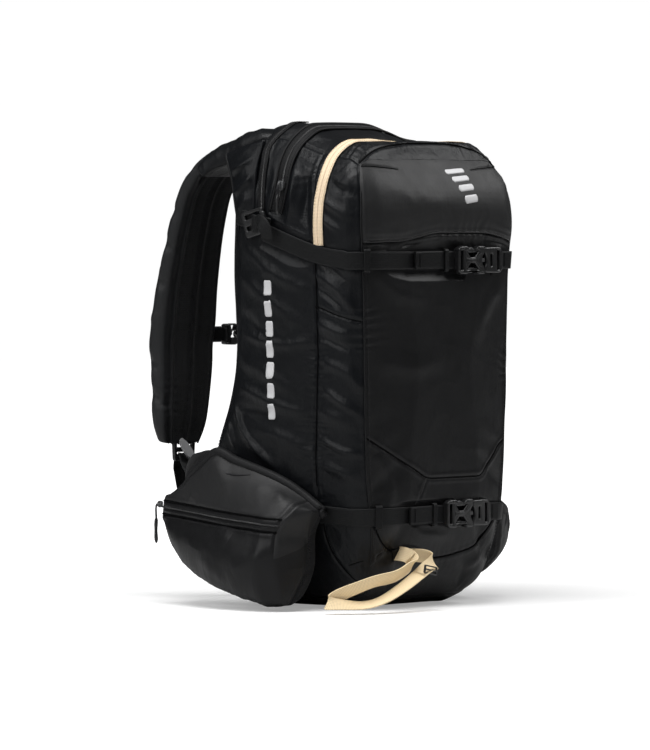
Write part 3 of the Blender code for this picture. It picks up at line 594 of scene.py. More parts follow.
def strap(name, path, out, width, thick=WEB_THICK, body="pack", across=8, step=None, curve=None,
          crown=0.0, mat=WEB_BLACK, slot="webbing", node=None):
    """Webbing of rounded flat section, UV in metres with v from -width/2 to width/2.

    `step` resamples the path in straight runs, `curve` through a smooth curve.
    """
    path = np.asarray(path, float)
    out = np.broadcast_to(np.asarray(out, float), path.shape)
    if curve:
        path, out = split(catmull(np.hstack([path, out]), curve))
    elif step:
        path, out = even(path, out, step)
    out, sideways = frames(path, out)
    half, edge = width / 2, thick / 2
    flat = np.linspace(-1, 1, across + 1)
    reach, bow = flat * (half - edge * .55), crown * (1 - flat ** 2)
    wide = np.r_[reach, half, half, reach[::-1], -half, -half]
    high = np.r_[edge + bow, edge * .35, -edge * .35, (bow - edge)[::-1], -edge * .35, edge * .35]
    rings = (path[:, None] + sideways[:, None] * wide[None, :, None]
             + out[:, None] * high[None, :, None])
    v = np.r_[flat * half, half, half, (flat * half)[::-1], -half, -half]
    uv = np.stack([np.repeat(arc(path), len(v)), np.tile(v, len(path))], 1)
    return claim(outward(make(name, *sweep(rings), mat, uv=uv, sharp=50)), body, slot, node)


# (place along, share of the radius, height in radii) of one stitch
STITCH = [(-.5, .25, -.6), (-.32, .85, .2), (0, 1, .55), (.32, .85, .2), (.5, .25, -.6)]
LONG_STITCH = dict(pitch=.0042, length=.003)


def stitches(name, path, out, body="pack", radius=.00034, lift=.0002, pitch=.004, length=.0028,
             mat=THREAD, slot="webbing"):
    """A row of thread stitches: each one a spindle whose ends dip under the surface."""
    path, out = even(path, out, pitch)
    tang = tangents(path)
    out, across = frames(path, out)
    seg = 5
    angle = circle(seg)
    verts, faces = [], []
    for k in range(len(path)):
        rings = []
        for along, share, height in STITCH:
            centre = path[k] + tang[k] * along * length + out[k] * (lift + height * radius)
            rings.append(centre + radius * share * (np.outer(np.cos(angle), out[k])
                                                    + np.outer(np.sin(angle), across[k])))
        ring_verts, ring_faces = sweep(rings)
        faces += [tuple(i + len(verts) for i in face) for face in ring_faces]
        verts += list(ring_verts)
    return claim(outward(make(name, verts, faces, mat)), body, slot)


def soften(points, radius, steps=4):
    """Rounds the corners of a polygon."""
    points = [np.array(p, float) for p in points]
    rounded = []
    for i, here in enumerate(points):
        before, after = points[i - 1], points[(i + 1) % len(points)]
        to_before, to_after = np.linalg.norm(before - here), np.linalg.norm(after - here)
        cut = min(radius, to_before * .45, to_after * .45)
        if cut < 1e-6:
            rounded.append(tuple(here))
            continue
        start = here + (before - here) / to_before * cut
        end = here + (after - here) / to_after * cut
        for k in range(steps + 1):
            u = k / steps
            rounded.append(tuple((1 - u) ** 2 * start + 2 * u * (1 - u) * here + u * u * end))
    return rounded


def rect(x0, x1, y0, y1):
    return [(x0, y0), (x1, y0), (x1, y1), (x0, y1)]


def flip_y(points):
    return [(x, -y) for x, y in points]


def facing_y(x, y, z):
    """Stands a plate's outline up in the XZ plane."""
    return Matrix.Translation((x, y, z)) @ Matrix.Rotation(math.radians(90), 4, "X")


def plate(name, outlines, depth, bevel, matrix, mat=PLASTIC, res=3):
    """A flat moulding with rounded edges.

    outlines: (points, corner rounding), the first the outside and the others holes.
    """
    curve = bpy.data.curves.new(name, "CURVE")
    curve.dimensions = "2D"
    curve.fill_mode = "BOTH"
    for points, rounding in outlines:
        points = soften(points, rounding)
        spline = curve.splines.new("POLY")
        spline.points.add(len(points) - 1)
        for point, (x, y) in zip(spline.points, points):
            point.co = (x, y, 0, 1)
        spline.use_cyclic_u = True
    curve.extrude = max(depth / 2 - bevel, .00005)
    curve.bevel_depth = bevel
    curve.bevel_resolution = res
    curve.offset = -bevel
    draft = link(name + "_c", curve)
    depsgraph = bpy.context.evaluated_depsgraph_get()
    mesh = bpy.data.meshes.new_from_object(draft.evaluated_get(depsgraph))
    bpy.data.objects.remove(draft)
    bm = bmesh.new()
    bm.from_mesh(mesh)
    bmesh.ops.remove_doubles(bm, verts=bm.verts, dist=2e-6)
    bmesh.ops.recalc_face_normals(bm, faces=bm.faces)
    bmesh.ops.transform(bm, matrix=matrix, verts=bm.verts)
    bm.to_mesh(mesh)
    bm.free()
    mesh.name = name
    mesh.materials.clear()
    mesh.materials.append(mat)
    mesh.shade_smooth()
    mesh.set_sharp_from_angle(angle=math.radians(40))
    return link(name, mesh)


def merge(name, parts, body, slot="black_plastic", node=None):
    """Joins pieces that share a body into one object, keeping their materials."""
    for ob in bpy.context.selected_objects:
        ob.select_set(False)
    for ob in parts:
        ob.select_set(True)
    bpy.context.view_layer.objects.active = parts[0]
    bpy.ops.object.join()
    ob = bpy.context.view_layer.objects.active
    ob.name = name
    ob.data.name = name
    ob.select_set(False)
    return claim(ob, body, slot, node)


# ===================================================== one cloth run for every soft part
SOFT = []
MOST_SLACK = .05


class Soft:
    """A grid mesh for the cloth run: how firmly each point is held, how much spare cloth it has.

    `count` is the number of points round each ring of a swept part.
    """

    def __init__(self, verts, faces, pin, slack, count=0):
        self.faces = np.asarray(faces, int)
        self.rest = np.asarray(verts, float)
        self.pin = np.asarray(pin, float)
        self.slack = np.broadcast_to(slack, len(self.rest))
        self.count = count
        self.now = self.rest.copy()
        SOFT.append(self)

    def rings(self):
        return self.now.reshape(-1, self.count, 3)

    def column(self, index, low=3, high=-3):
        """Places of one column, ring by ring."""
        return self.rings()[low:high, index]

    def column_out(self, index, low=3, high=-3):
        """Outward direction at that column."""
        rings = self.rings()
        return unit(rings[low:high, index] - rings.mean(1)[low:high])


def vertex_data(mesh, field):
    values = np.empty(len(mesh.vertices) * 3)
    mesh.vertices.foreach_get(field, values)
    return values.reshape(-1, 3)


def run_cloth(parts, frame_count=16, pressure=2.0, most_move=.006):
    """Runs Blender's Cloth on all soft parts together and keeps the result in part.now."""
    verts = np.vstack([part.rest for part in parts])
    faces, base = [], 0
    for part in parts:
        faces += (part.faces + base).tolist()
        base += len(part.rest)
    ob = make("cloth_run", verts, faces)
    pin = np.concatenate([part.pin for part in parts])
    slack = np.concatenate([part.slack for part in parts])
    for label, weight in (("hold", pin), ("spare", slack / MOST_SLACK)):
        group = ob.vertex_groups.new(name=label)
        rounded = np.round(weight, 2)
        for level in np.unique(rounded):
            if level > 0:
                members = np.nonzero(rounded == level)[0].tolist()
                group.add(members, float(min(level, 1)), "REPLACE")
    cloth = ob.modifiers.new("cloth", "CLOTH")
    settings = cloth.settings
    settings.quality = 4
    settings.mass = .15
    settings.tension_stiffness = 12
    settings.compression_stiffness = 12
    settings.shear_stiffness = 4
    settings.bending_stiffness = .35
    settings.air_damping = 1.2
    settings.use_pressure = True
    settings.uniform_pressure_force = pressure
    settings.vertex_group_mass = "hold"
    settings.vertex_group_shrink = "spare"
    settings.shrink_min = 0.0
    settings.shrink_max = -MOST_SLACK
    settings.effector_weights.gravity = 0
    cloth.collision_settings.use_collision = False
    cloth.collision_settings.use_self_collision = False
    cloth.point_cache.frame_start = 1
    cloth.point_cache.frame_end = frame_count + 1
    scene = bpy.context.scene
    for k in range(1, frame_count + 1):
        scene.frame_set(k)
    mesh = ob.evaluated_get(bpy.context.evaluated_depsgraph_get()).to_mesh()
    move = vertex_data(mesh, "co") - verts
    scene.frame_set(1)
    bpy.data.objects.remove(ob)
    size = np.linalg.norm(move, axis=1, keepdims=True)
    move *= np.minimum(1, most_move / np.maximum(size, 1e-9))
    base = 0
    for part in parts:
        part.now = part.rest + move[base:base + len(part.rest)]
        base += len(part.rest)


def refine(ob, level, keep_corners=False):
    """Replaces an object's mesh by its subdivided one."""
    fine = ob.modifiers.new("fine", "SUBSURF")
    fine.levels = fine.render_levels = level
    if keep_corners:
        fine.boundary_smooth = "PRESERVE_CORNERS"
    depsgraph = bpy.context.evaluated_depsgraph_get()
    mesh = bpy.data.meshes.new_from_object(ob.evaluated_get(depsgraph))
    coarse = ob.data
    ob.modifiers.clear()
    ob.data = mesh
    bpy.data.meshes.remove(coarse)


def piece_of(part, select, name, mat, level):
    """Some faces of a soft part, subdivided; its borders stay where its neighbours' are."""
    faces = part.faces[select]
    used, inverse = np.unique(faces, return_inverse=True)
    ob = make(name, part.now[used], inverse.reshape(faces.shape), mat)
    refine(ob, level, keep_corners=True)
    return ob


def set_coords(ob, place):
    """Moves the vertices; whatever rests on the floor is flat there."""
    place = np.array(place, float)
    low = place[:, 2] < .0015
    place[low, 2] = .0015 + (place[low, 2] - .0015) * .12
    ob.data.vertices.foreach_set("co", np.asarray(place, np.float32).ravel())
    ob.data.update()


# ----------------------------------------------------- the bag: one welded shell
POCKET_LINE = .4435          # lower seam of the goggle pocket
SIDE_LINE = -.0355           # seam down each side
TOP_LINE = -.078             # seam across the top
# (name, fixed axis, at the far end, faces turned round)
BOX_SIDES = (("front", 1, False, False), ("back", 1, True, True), ("left", 0, False, True),
             ("right", 0, True, False), ("top", 2, True, False), ("base", 2, False, True))


def pocket_z(x):
    """Height of the pocket's lower seam across the front: it rides up over the buckle."""
    return (POCKET_LINE + .0115 * smooth(-.085, -.010, x) * (1 - smooth(.070, .150, x))
            - .0015 * (1 - smooth(-.14, -.08, x)))


def shell():
    pocket_row = 87
    grid = (np.linspace(-HALF_X, HALF_X, 59),
            np.r_[np.linspace(-HALF_Y, TOP_LINE, 7), np.linspace(TOP_LINE, SIDE_LINE, 10)[1:],
                  np.linspace(SIDE_LINE, HALF_Y, 30)[1:]],
            np.r_[np.linspace(0, POCKET_LINE, pocket_row + 1),
                  np.linspace(POCKET_LINE, HEIGHT, 30)[1:]])
    last = [len(line) - 1 for line in grid]
    index, faces, panel = {}, [], []
    for name, axis, far, turned in BOX_SIDES:
        first, second = [a for a in range(3) if a != axis]
        around = ((0, 0), (1, 0), (1, 1), (0, 1))
        if turned:
            around = ((0, 0), (0, 1), (1, 1), (1, 0))
        for a, b in product(range(last[first]), range(last[second])):
            face = []
            for da, db in around:
                corner = [a + da, b + db]
                corner.insert(axis, last[axis] if far else 0)
                face.append(index.setdefault(tuple(corner), len(index)))
            faces.append(face)
            panel.append("goggle" if name == "front" and b >= pocket_row else name)
    box = np.array([(grid[0][i], grid[1][j], grid[2][k]) for i, j, k in index])

    def near(values, target):
        return np.abs(values - target) < 1e-6

    front, back = near(box[:, 1], -HALF_Y), near(box[:, 1], HALF_Y)
    arched = front * np.exp(-((box[:, 2] - POCKET_LINE) / .034) ** 2)
    at_pocket = near(box[:, 2], POCKET_LINE)
    box[:, 2] += arched * (pocket_z(box[:, 0]) - POCKET_LINE)
    x, y, z = box.T
    edge_x, edge_y = near(np.abs(x), HALF_X), near(np.abs(y), HALF_Y)
    edge_z = near(z, 0) | near(z, HEIGHT)
    seam = (edge_x.astype(int) + edge_y + edge_z) >= 2
    seam |= at_pocket & front
    seam |= near(y, SIDE_LINE) & edge_x & (z > .06)
    seam |= near(y, TOP_LINE) & near(z, HEIGHT)
    pin = np.maximum(np.where(seam, 1.0, 0.0), np.where(back, .35, 0))
    slack = np.full(len(box), .020)
    for where, amount in ((front, .010), (near(z, 0), .008), (back, .006), (seam, .004)):
        slack[where] = amount
    part = Soft(on_box(box, -.0006)[0], faces, pin, slack)
    part.panel = np.array(panel)
    return part


BAG = shell()

# ----------------------------------------------------- shoulder straps
# (y, z, thickness, centre x, half width) down the wearer's left strap
STRAP = [(.121, .532, .019, -.092, .042), (.134, .538, .022, -.095, .043),
         (.150, .531, .024, -.098, .043), (.165, .518, .026, -.101, .043),
         (.1787, .498, .028, -.103, .043), (.188, .472, .030, -.103, .044),
         (.1985, .435, .032, -.102, .046), (.2106, .384, .036, -.099, .049),
         (.2162, .342, .039, -.098, .051), (.219, .313, .040, -.099, .050),
         (.2185, .283, .039, -.100, .049), (.2178, .233, .036, -.104, .044),
         (.22, .211, .031, -.105, .040), (.2228, .193, .022, -.106, .032)]
# section: u across in half widths (-1 the outer edge), v through the thickness, 0 at the wearer
SECTION = [(-.86, .03), (-.50, .02), (0, 0), (.50, 0), (.86, .02), (.985, .10), (1, .22),
           (.985, .38), (.93, .58), (.74, .74), (.45, .86), (.05, .94), (-.35, .98), (-.60, .92),
           (-.80, .76), (-.94, .60), (-1, .44), (-.985, .26), (-.95, .12)]


def strap_part(side):
    rows = catmull(np.insert(STRAP, 0, 0, axis=1), .0055)
    tang = unit(np.gradient(rows[:, 1:3], axis=0))
    section = np.array(SECTION + SECTION[:1])
    along = arc(section * [[.045, .03]])
    count = 46
    spots = np.linspace(0, along[-1], count, endpoint=False)
    u, v = (np.interp(spots, along, section[:, k]) for k in (0, 1))
    rings = []
    for (_, y, z, thick, centre, half), (tang_y, tang_z) in zip(rows, tang):
        depth = (v * .96 + .02) * thick
        rings.append(np.stack([side * (centre + u * half * .965), y - tang_z * depth,
                               z + tang_y * depth], 1))
    rings = close_ends(rings, (.992, .6, .2))
    verts, faces = sweep(rings, cap=False)
    faces = np.array(faces)
    # the two columns where the mesh facing the wearer meets the outer fabric
    edges = [int(np.argmin((u - at_u) ** 2 + (v - at_v) ** 2))
             for at_u, at_v in ((-.56, .02), (.955, .07))]
    pin = np.zeros(count)
    pin[edges] = .95
    pin = np.tile(pin, len(rings))
    ring = np.repeat(np.arange(len(rings)), count)
    pin[(ring < 4) | (ring > len(rings) - 5)] = 1
    pin = np.maximum(pin, np.where(np.tile(v < .08, len(rings)), .25, 0))
    part = Soft(verts, faces if side > 0 else faces[:, ::-1], pin, .030, count)
    part.edges = edges
    return part


STRAPS = [strap_part(side) for _, side in SIDES]

# ----------------------------------------------------- hip wings with their pockets
# (y, inner face x, top z, bottom z) of the wearer's left wing
WING = np.array([(-.030, -.1445, .140, .030), (-.005, -.1500, .153, .022),
                 (.030, -.1570, .166, .020), (.075, -.1625, .180, .022),
                 (.104, -.1660, .190, .035), (.140, -.1645, .160, .050),
                 (.172, -.1570, .139, .072), (.198, -.1440, .130, .092)])
# (y, back x, zip x, outermost x, zip z, bottom z) of its pocket
POUCH = np.array([(-.062, -.156, -.170, -.172, .106, .040),
                  (-.045, -.160, -.1965, -.200, .107, .006),
                  (-.010, -.166, -.2025, -.211, .108, .003),
                  (.040, -.1735, -.1995, -.2130, .111, .012),
                  (.085, -.1775, -.1930, -.2090, .114, .024),
                  (.120, -.1780, -.1870, -.1990, .117, .036),
                  (.150, -.1745, -.1800, -.1890, .119, .050),
                  (.178, -.1674, -.1748, -.1797, .121, .074),
                  (.198, -.1565, -.1660, -.1670, .122, .098)])
# points between one named corner of the section and the next
HIP_COUNTS = [5, 5, 1, 1, 6, 4, 3, 5, 4, 4, 3, 3, 3]
HIP_GROUPS = np.repeat(np.arange(len(HIP_COUNTS)), HIP_COUNTS)
HIP_FIRST = np.r_[0, np.cumsum(HIP_COUNTS)[:-1]]
PEAK_Y, PEAK_Z = .104, .190           # straight-sided peak of the wing
# (y, rise) of the right pocket's front corner
RIGHT_LIFT = [(-.080, .092), (-.060, .078), (-.050, .058), (-.030, .036), (0, .016),
              (.040, .004), (.080, 0), (.21, 0)]


def hip_corners(y, side):
    """(x, z) corners of the section at y, measured on the wearer's left."""
    inner, top, low = (curve_at(WING[:, [0, c]], max(y, -.030)) for c in (1, 2, 3))
    back, zip_x, far, zip_z, base = (np.interp(y, POUCH[:, 0], POUCH[:, c]) for c in range(1, 6))
    base = base if side > 0 else max(base, .010)
    if y < -.030:            # the wing's top edge falls away towards the front of the pack
        top = .140 - (-.030 - y) * .55
        inner = -.1445 + (-.030 - y) * .10
        low = max(.030, base + .01)
    if abs(y - PEAK_Y) < .05:
        top = max(top, PEAK_Z - abs(y - PEAK_Y) * (.42 if y < PEAK_Y else .69))
    outer = inner - .0105
    band_top, band_low = zip_z + .0035, zip_z - .0125
    return np.array([
        (inner, max(low, base + .006)),                     # 0 inner bottom
        (inner - .0008, (low + top) / 2),
        (inner - .0015, top - .004),                        # 2..4 bound edge
        (inner - .006, top),
        (outer, top - .004),
        (min(outer, back) * .5 + zip_x * .5 - .0005,
         (top + band_top) / 2 + .006),                      # 5 middle of the top panel
        (zip_x + .0010, band_top),                          # 6 upper edge of the zip band
        (zip_x - .0012, band_low),                          # 7 its lower edge
        (far - .0010, band_low - (zip_z - base) * .30),     # 8 belly
        (far - .0005, base + (zip_z - base) * .30),
        (back + (far - back) * .78, base + .0045),
        (back + (far - back) * .45, base),                  # 11 bottom
        (back + .004, base + .004)])


def hip_part(side):
    """One closed form: up the wing's inside, over its edge, down the pocket and back."""
    count = len(HIP_GROUPS)
    keep = np.zeros((count, 1))                 # corners that stay sharp
    keep[HIP_FIRST[[3, 6, 7]]] = 1
    rings = []
    for y in np.r_[-.062, -.057, np.linspace(-.051, .198, 47)]:
        corners = hip_corners(y, side)
        after = np.roll(corners, -1, 0)
        row = np.array([corners[g] * (1 - k / n) + after[g] * (k / n)
                        for g, n in enumerate(HIP_COUNTS) for k in range(n)])
        for _ in range(3):
            round_row = row * .5 + .25 * (np.roll(row, 1, 0) + np.roll(row, -1, 0))
            row = row * keep + (1 - keep) * round_row
        rings.append(np.stack([side * row[:, 0], np.full(count, y), row[:, 1]], 1))
    # both ends rounded: (share drawn in, move along y)
    head = [shrink(rings[0], *end) for end in ((.992, -.0034), (.62, -.0030), (.25, -.0016))]
    tail = [shrink(rings[-1], *end) for end in ((.16, .0016), (.55, .0036), (.992, .0046))]
    rings = head + rings + tail
    for ring in rings:
        z = ring[:, 2]
        if side > 0:            # the stuffed pocket is cut back under its folded corner
            low = 1 - smooth(.088, .128, z)
            ring[:, 1] -= np.minimum(0, ring[:, 1] - .022) * (.17 + .20 * low)
            ring[:, 0] -= .006 * low * smooth(-.045, -.060, ring[:, 1])
        else:                   # the far pocket hangs empty, its front corner pulled up
            lift = curve_at(RIGHT_LIFT, ring[:, 1])
            ring[:, 2] += np.where(z < .12, lift * (1 - z / .12), 0)
    verts, faces = sweep(rings, cap=False)
    faces = np.array(faces)
    pin = np.zeros(count)
    pin[HIP_FIRST[[2, 3, 4]]] = 1
    pin[HIP_FIRST[[6, 7]]] = .95
    pin[HIP_FIRST[0]:HIP_FIRST[2]] = .4
    pin[HIP_FIRST[11]] = .5
    pin = np.tile(pin, len(rings))
    ring = np.repeat(np.arange(len(rings)), count)
    pin[(ring < 4) | (ring > len(rings) - 4)] = 1
    return Soft(verts, faces[:, ::-1] if side > 0 else faces, pin, .030, count)


HIPS = [hip_part(side) for _, side in SIDES]

# ----------------------------------------------------- lumbar pad
# (z, half width, thickness)
LUMBAR_ROWS = np.array([(.055, .085, .004), (.075, .105, .012), (.12, .112, .017),
                        (.17, .108, .014), (.20, .085, .005)])


def lumbar_part():
    rings = []
    u = np.linspace(-1, 1, 41)
    for z in np.linspace(.055, .200, 30):
        half, thick = (curve_at(LUMBAR_ROWS[:, [0, c]], z) for c in (1, 2))
        back = curve_at(BACK_Y, z) + .0012 + .0036
        outer = [(-half * q, back + thick * (1 - abs(q) ** 5) ** .5
                  * (1 - .30 * math.exp(-(q / .10) ** 2))) for q in u]
        inner = [(half * q, back) for q in u[1:-1]]
        rings.append(np.array([(x, y, z) for x, y in outer + inner]))
    rings = close_ends(rings, (.992, .6, .25))
    rows, count = len(rings), len(rings[0])
    verts, faces = sweep(rings, cap=False)
    ring, col = np.repeat(np.arange(rows), count), np.tile(np.arange(count), rows)
    held = (col > 40) | (col == 0) | (ring < 4) | (ring > rows - 5) | (np.abs(col - 20) < 2)
    return Soft(verts, faces, np.where(held, 1.0, 0), .022)


LUMBAR = lumbar_part()
run_cloth(SOFT)


# ===================================================== paths laid on the bag
def tree_of(verts, faces):
    return BVHTree.FromPolygons([Vector(v) for v in verts], [tuple(f) for f in faces])


def mesh_tree(*objects):
    verts, faces = [], []
    for ob in objects:
        faces += [tuple(i + len(verts) for i in face.vertices) for face in ob.data.polygons]
        verts += list(vertex_data(ob.data, "co"))
    return tree_of(verts, faces)


def nearest(tree, points):
    """Nearest places on a tree and the directions there."""
    hits = [tree.find_nearest(Vector(p)) for p in points]
    return np.array([hit[0] for hit in hits]), np.array([hit[1] for hit in hits])


BAG_TREE = tree_of(BAG.now, BAG.faces.tolist())
REST_TREE = tree_of(BAG.rest, BAG.faces.tolist())


def laid(points):
    """A path on the stuffed bag through the given places."""
    return relax(nearest(BAG_TREE, catmull(points, .004)[:, :3])[0], 4)


def tight(points, step, lift):
    """A path on the bag before it is stuffed, for tight webbing and for zips."""
    path, out = nearest(REST_TREE, catmull(points, step)[:, :3])
    relax(out, 3, directions=True)
    return relax(path, 3) + out * (lift + .0006), unit(out)


def box_line(points, step=.004):
    """A path given on the parameter box."""
    return on_box(catmull(points, step)[:, :3])[0]


def straight(rows, step=.006):
    """The same places joined by straight runs, so that corners stay corners."""
    path = []
    for start, end in zip(rows[:-1], rows[1:]):
        start, end = np.array(start, float), np.array(end, float)
        count = max(2, int(np.linalg.norm(end - start) / step))
        path += [tuple(start + (end - start) * k / count) for k in range(count)]
    return path + [tuple(rows[-1])]


# ----------------------------------------------------- seams on the bag
# seam lines; all but HEXAGON's straight runs are smooth curves
HEXAGON = straight([(-.126, -.099, .207), (-.033, -.107, .157), (.069, -.107, .157),
                    (.110, -.106, .190), (.131, -.100, .203)])
HEXAGON_LOW = [(-.033, -.107, .158), (-.051, -.107, .127)]
BOTTOM = [(-.120, -.090, .112), (-.113, -.101, .101), (-.0915, -.1005, .076),
          (-.035, -.097, .0615), (.004, -.096, .059), (.041, -.097, .064), (.073, -.100, .073),
          (.100, -.1055, .103), (.112, -.098, .112)]
SIDE_DART = [(-.1475, -.036, .364), (-.143, -.068, .3535), (-.134, -.096, .3465)]
POCKET_TOP = [(-.121, -.082, .536), (-.089, -.0775, .551), (-.049, -.0725, .559),
              (.001, -.070, .561), (.061, -.072, .560), (.100, -.078, .551), (.125, -.086, .534)]
POCKET_DART = [(-.121, -.086, .5315), (-.096, -.091, .5305), (-.067, -.093, .527)]
SIDE_LOW = [(-.137, -.0355, .120), (-.131, -.036, .092), (-.126, -.042, .072),
            (-.120, -.054, .052), (-.109, -.070, .033)]
BOTTOM_SHORT = [(-.119, -.064, .054), (-.0915, -.1005, .076)]
BURST = [(-.1546, .0456, .4815), (-.152, .046, .5155), (-.147, .046, .538),
         (-.140, .049, .552), (-.130, .046, .565), (-.110, .040, .580)]


def bag_seams():
    """Every seam: (path, groove depth, pucker height, pucker period, pucker reach, width)."""
    seams = []

    def seam(path, depth, pucker, period, reach):
        seams.append((path, depth, pucker, period, reach, .0016))

    # box edges: (start, end, samples, shape)
    edges = (((HALF_X, -HALF_Y, 0), (HALF_X, -HALF_Y, HEIGHT), 40, (.0010, .0006, .012, .020)),
             ((HALF_X, HALF_Y, 0), (HALF_X, HALF_Y, HEIGHT), 40, (.0010, .0005, .012, .022)),
             ((HALF_X, SIDE_LINE, .10), (HALF_X, SIDE_LINE, HEIGHT), 40,
              (.0009, .0007, .010, .024)),
             ((HALF_X, -HALF_Y, HEIGHT), (HALF_X, HALF_Y, HEIGHT), 20,
              (.0007, .0007, .010, .018)),
             ((HALF_X, -HALF_Y, 0), (HALF_X, HALF_Y, 0), 20, (.0008, .0005, .012, .015)))
    for sign in (-1, 1):
        for start, end, count, shape in edges:
            seam(box_line(np.linspace(start, end, count) * (sign, 1, 1)), *shape)
    xs = np.linspace(-HALF_X, HALF_X, 30)
    seam(box_line([(x, -HALF_Y, pocket_z(x)) for x in xs]), .0016, .0006, .013, .020)
    for y, z, shape in ((TOP_LINE, HEIGHT, (.0008, .0006, .012, .018)),
                        (HALF_Y, HEIGHT, (.0010, .0008, .010, .020)),
                        (-HALF_Y, 0, (.0006, .0004, .012, .014)),
                        (HALF_Y, 0, (.0008, .0005, .012, .014))):
        seam(box_line([(x, y, z) for x in xs]), *shape)
    for rows, depth, pucker in (
            (HEXAGON, .0008, .0003), (HEXAGON_LOW, .0006, .0002), (BOTTOM, .0008, .0005),
            (SIDE_DART, .0008, .0006), (mirror(SIDE_DART), .0008, .0006),
            (POCKET_TOP, .0009, .0006), (POCKET_DART, .0007, .0005),
            (mirror(POCKET_DART), .0007, .0005), (SIDE_LOW, .0008, .0007),
            (mirror(SIDE_LOW), .0008, .0007), (BOTTOM_SHORT, .0006, .0005)):
        seam(laid(rows), depth, pucker, .012, .016)
    seam(laid([(-.153, .046, .455)] + BURST), .0009, .0007, .010, .018)
    return seams


SEAMS = bag_seams()

# broad folds: (places along the crest, half width, height; a negative height is a hollow)
FOLDS = [
    ([(x, -.107, pocket_z(x) + .0095) for x in np.linspace(-.135, .135, 12)], .0085, .0030),
    ([(x, -.107, pocket_z(x) - .0085) for x in np.linspace(-.128, .132, 12)], .0070, -.0036),
    ([(-.118, -.103, .436), (-.09, -.107, .4345), (-.07, -.107, .4375)], .005, .0024),
    ([(-.075, -.107, .433), (-.05, -.107, .437), (-.03, -.107, .444)], .005, .0024),
    ([(-.15, -.038, .5), (-.147, -.066, .482), (-.14, -.092, .47)], .009, .0028),
    ([(-.15, -.04, .474), (-.146, -.074, .455)], .007, .0024),
    ([(-.149, -.052, .52), (-.146, -.07, .505), (-.138, -.09, .498)], .008, -.0020),
    ([(-.148, -.04, .268), (-.14, -.078, .246), (-.132, -.094, .236)], .008, .0018),
    ([(-.145, -.038, .205), (-.138, -.07, .192), (-.13, -.092, .188)], .007, .0018),
    ([(-.152, .04, .56), (-.154, .028, .52), (-.155, .034, .48)], .007, .0022),
    ([(-.15, -.002, .545), (-.153, -.004, .505), (-.154, .004, .462)], .009, .0026),
    ([(-.148, -.016, .548), (-.152, -.022, .515), (-.153, -.018, .47)], .007, -.0024),
    ([(-.154, .062, .53), (-.156, .07, .5), (-.156, .064, .47)], .008, .0022),
    ([(-.154, .09, .52), (-.156, .082, .495)], .006, .0020),
    ([(-.153, .08, .33), (-.15, .02, .318), (-.149, -.028, .322)], .009, .0014),
    ([(-.152, .09, .27), (-.15, .04, .25), (-.148, -.02, .235)], .010, .0016),
    ([(-.152, .1, .255), (-.15, .08, .215), (-.148, .05, .185)], .007, .0026),
    ([(-.152, .112, .235), (-.15, .095, .195)], .006, .0024),
    ([(-.151, .07, .2), (-.149, .03, .17)], .009, .0020),
    ([(-.15, -.03, .405), (-.146, -.07, .385), (-.138, -.094, .352)], .010, .0026),
    ([(-.149, -.034, .388), (-.144, -.07, .366)], .006, -.0020),
    ([(-.15, -.036, .435), (-.147, -.062, .418), (-.138, -.092, .404)], .008, .0020),
    ([(-.149, -.04, .42), (-.143, -.08, .396)], .006, -.0018),
    ([(-.148, -.036, .345), (-.141, -.078, .33)], .009, .0018),
    ([(-.147, -.038, .33), (-.139, -.084, .312)], .007, -.0016),
    ([(-.146, -.038, .3), (-.139, -.08, .285), (-.13, -.097, .262)], .011, .0016),
    ([(-.144, -.038, .24), (-.136, -.084, .222)], .012, .0014),
    ([(-.141, -.04, .175), (-.131, -.086, .16)], .011, .0018),
    ([(-.152, .02, .43), (-.152, -.02, .412)], .010, .0020),
    ([(-.152, .075, .44), (-.152, .03, .405), (-.15, -.02, .385)], .012, .0016),
    ([(-.151, .08, .4), (-.15, .035, .372), (-.148, -.01, .345)], .014, .0018),
    ([(-.15, .085, .355), (-.149, .04, .33)], .012, -.0014),
    ([(-.15, .088, .3), (-.149, .045, .285), (-.147, 0, .262)], .015, .0016),
    ([(-.15, .085, .24), (-.149, .035, .235)], .012, -.0013),
    ([(-.15, .06, .215), (-.147, .01, .205), (-.144, -.025, .185)], .014, .0018),
    ([(-.152, .03, .47), (-.152, .005, .452), (-.151, -.028, .446)], .009, .0018),
    ([(-.148, 0, .53), (-.15, -.004, .5), (-.151, -.008, .47)], .010, .0018),
    ([(-.15, -.02, .52), (-.151, -.024, .492), (-.151, -.026, .464)], .008, -.0014),
    ([(-.112, -.1, .3), (-.06, -.107, .292), (0, -.107, .3)], .020, .0012),
    ([(-.118, -.1, .408), (-.08, -.107, .38), (-.03, -.107, .372)], .016, .0012),
    ([(.12, -.104, .395), (.08, -.107, .36), (.06, -.107, .32)], .018, .0014),
    ([(-.11, -.1, .19), (-.092, -.106, .15), (-.098, -.104, .115)], .012, .0016),
    ([(-.06, -.103, .11), (-.04, -.104, .09), (.02, -.104, .085)], .012, .0018),
    ([(-.105, -.096, .066), (-.07, -.095, .046), (-.02, -.09, .03)], .012, .0026),
    ([(-.118, -.06, .092), (-.106, -.084, .08), (-.094, -.098, .072)], .009, .0024),
    ([(-.124, -.046, .11), (-.112, -.08, .104)], .007, -.0020),
    ([(.02, -.096, .052), (.06, -.094, .046), (.09, -.09, .06)], .011, .0022),
    ([(-.1, -.094, .505), (-.06, -.104, .492), (0, -.107, .486)], .018, .0014),
    ([(-.09, -.09, .535), (-.03, -.09, .545), (.05, -.09, .543)], .014, .0012),
    ([(.13, -.09, .52), (.115, -.102, .49), (.11, -.106, .46)], .012, .0014),
    ([(-.126, -.09, .5), (-.118, -.1, .475), (-.12, -.101, .452)], .010, .0012),
]


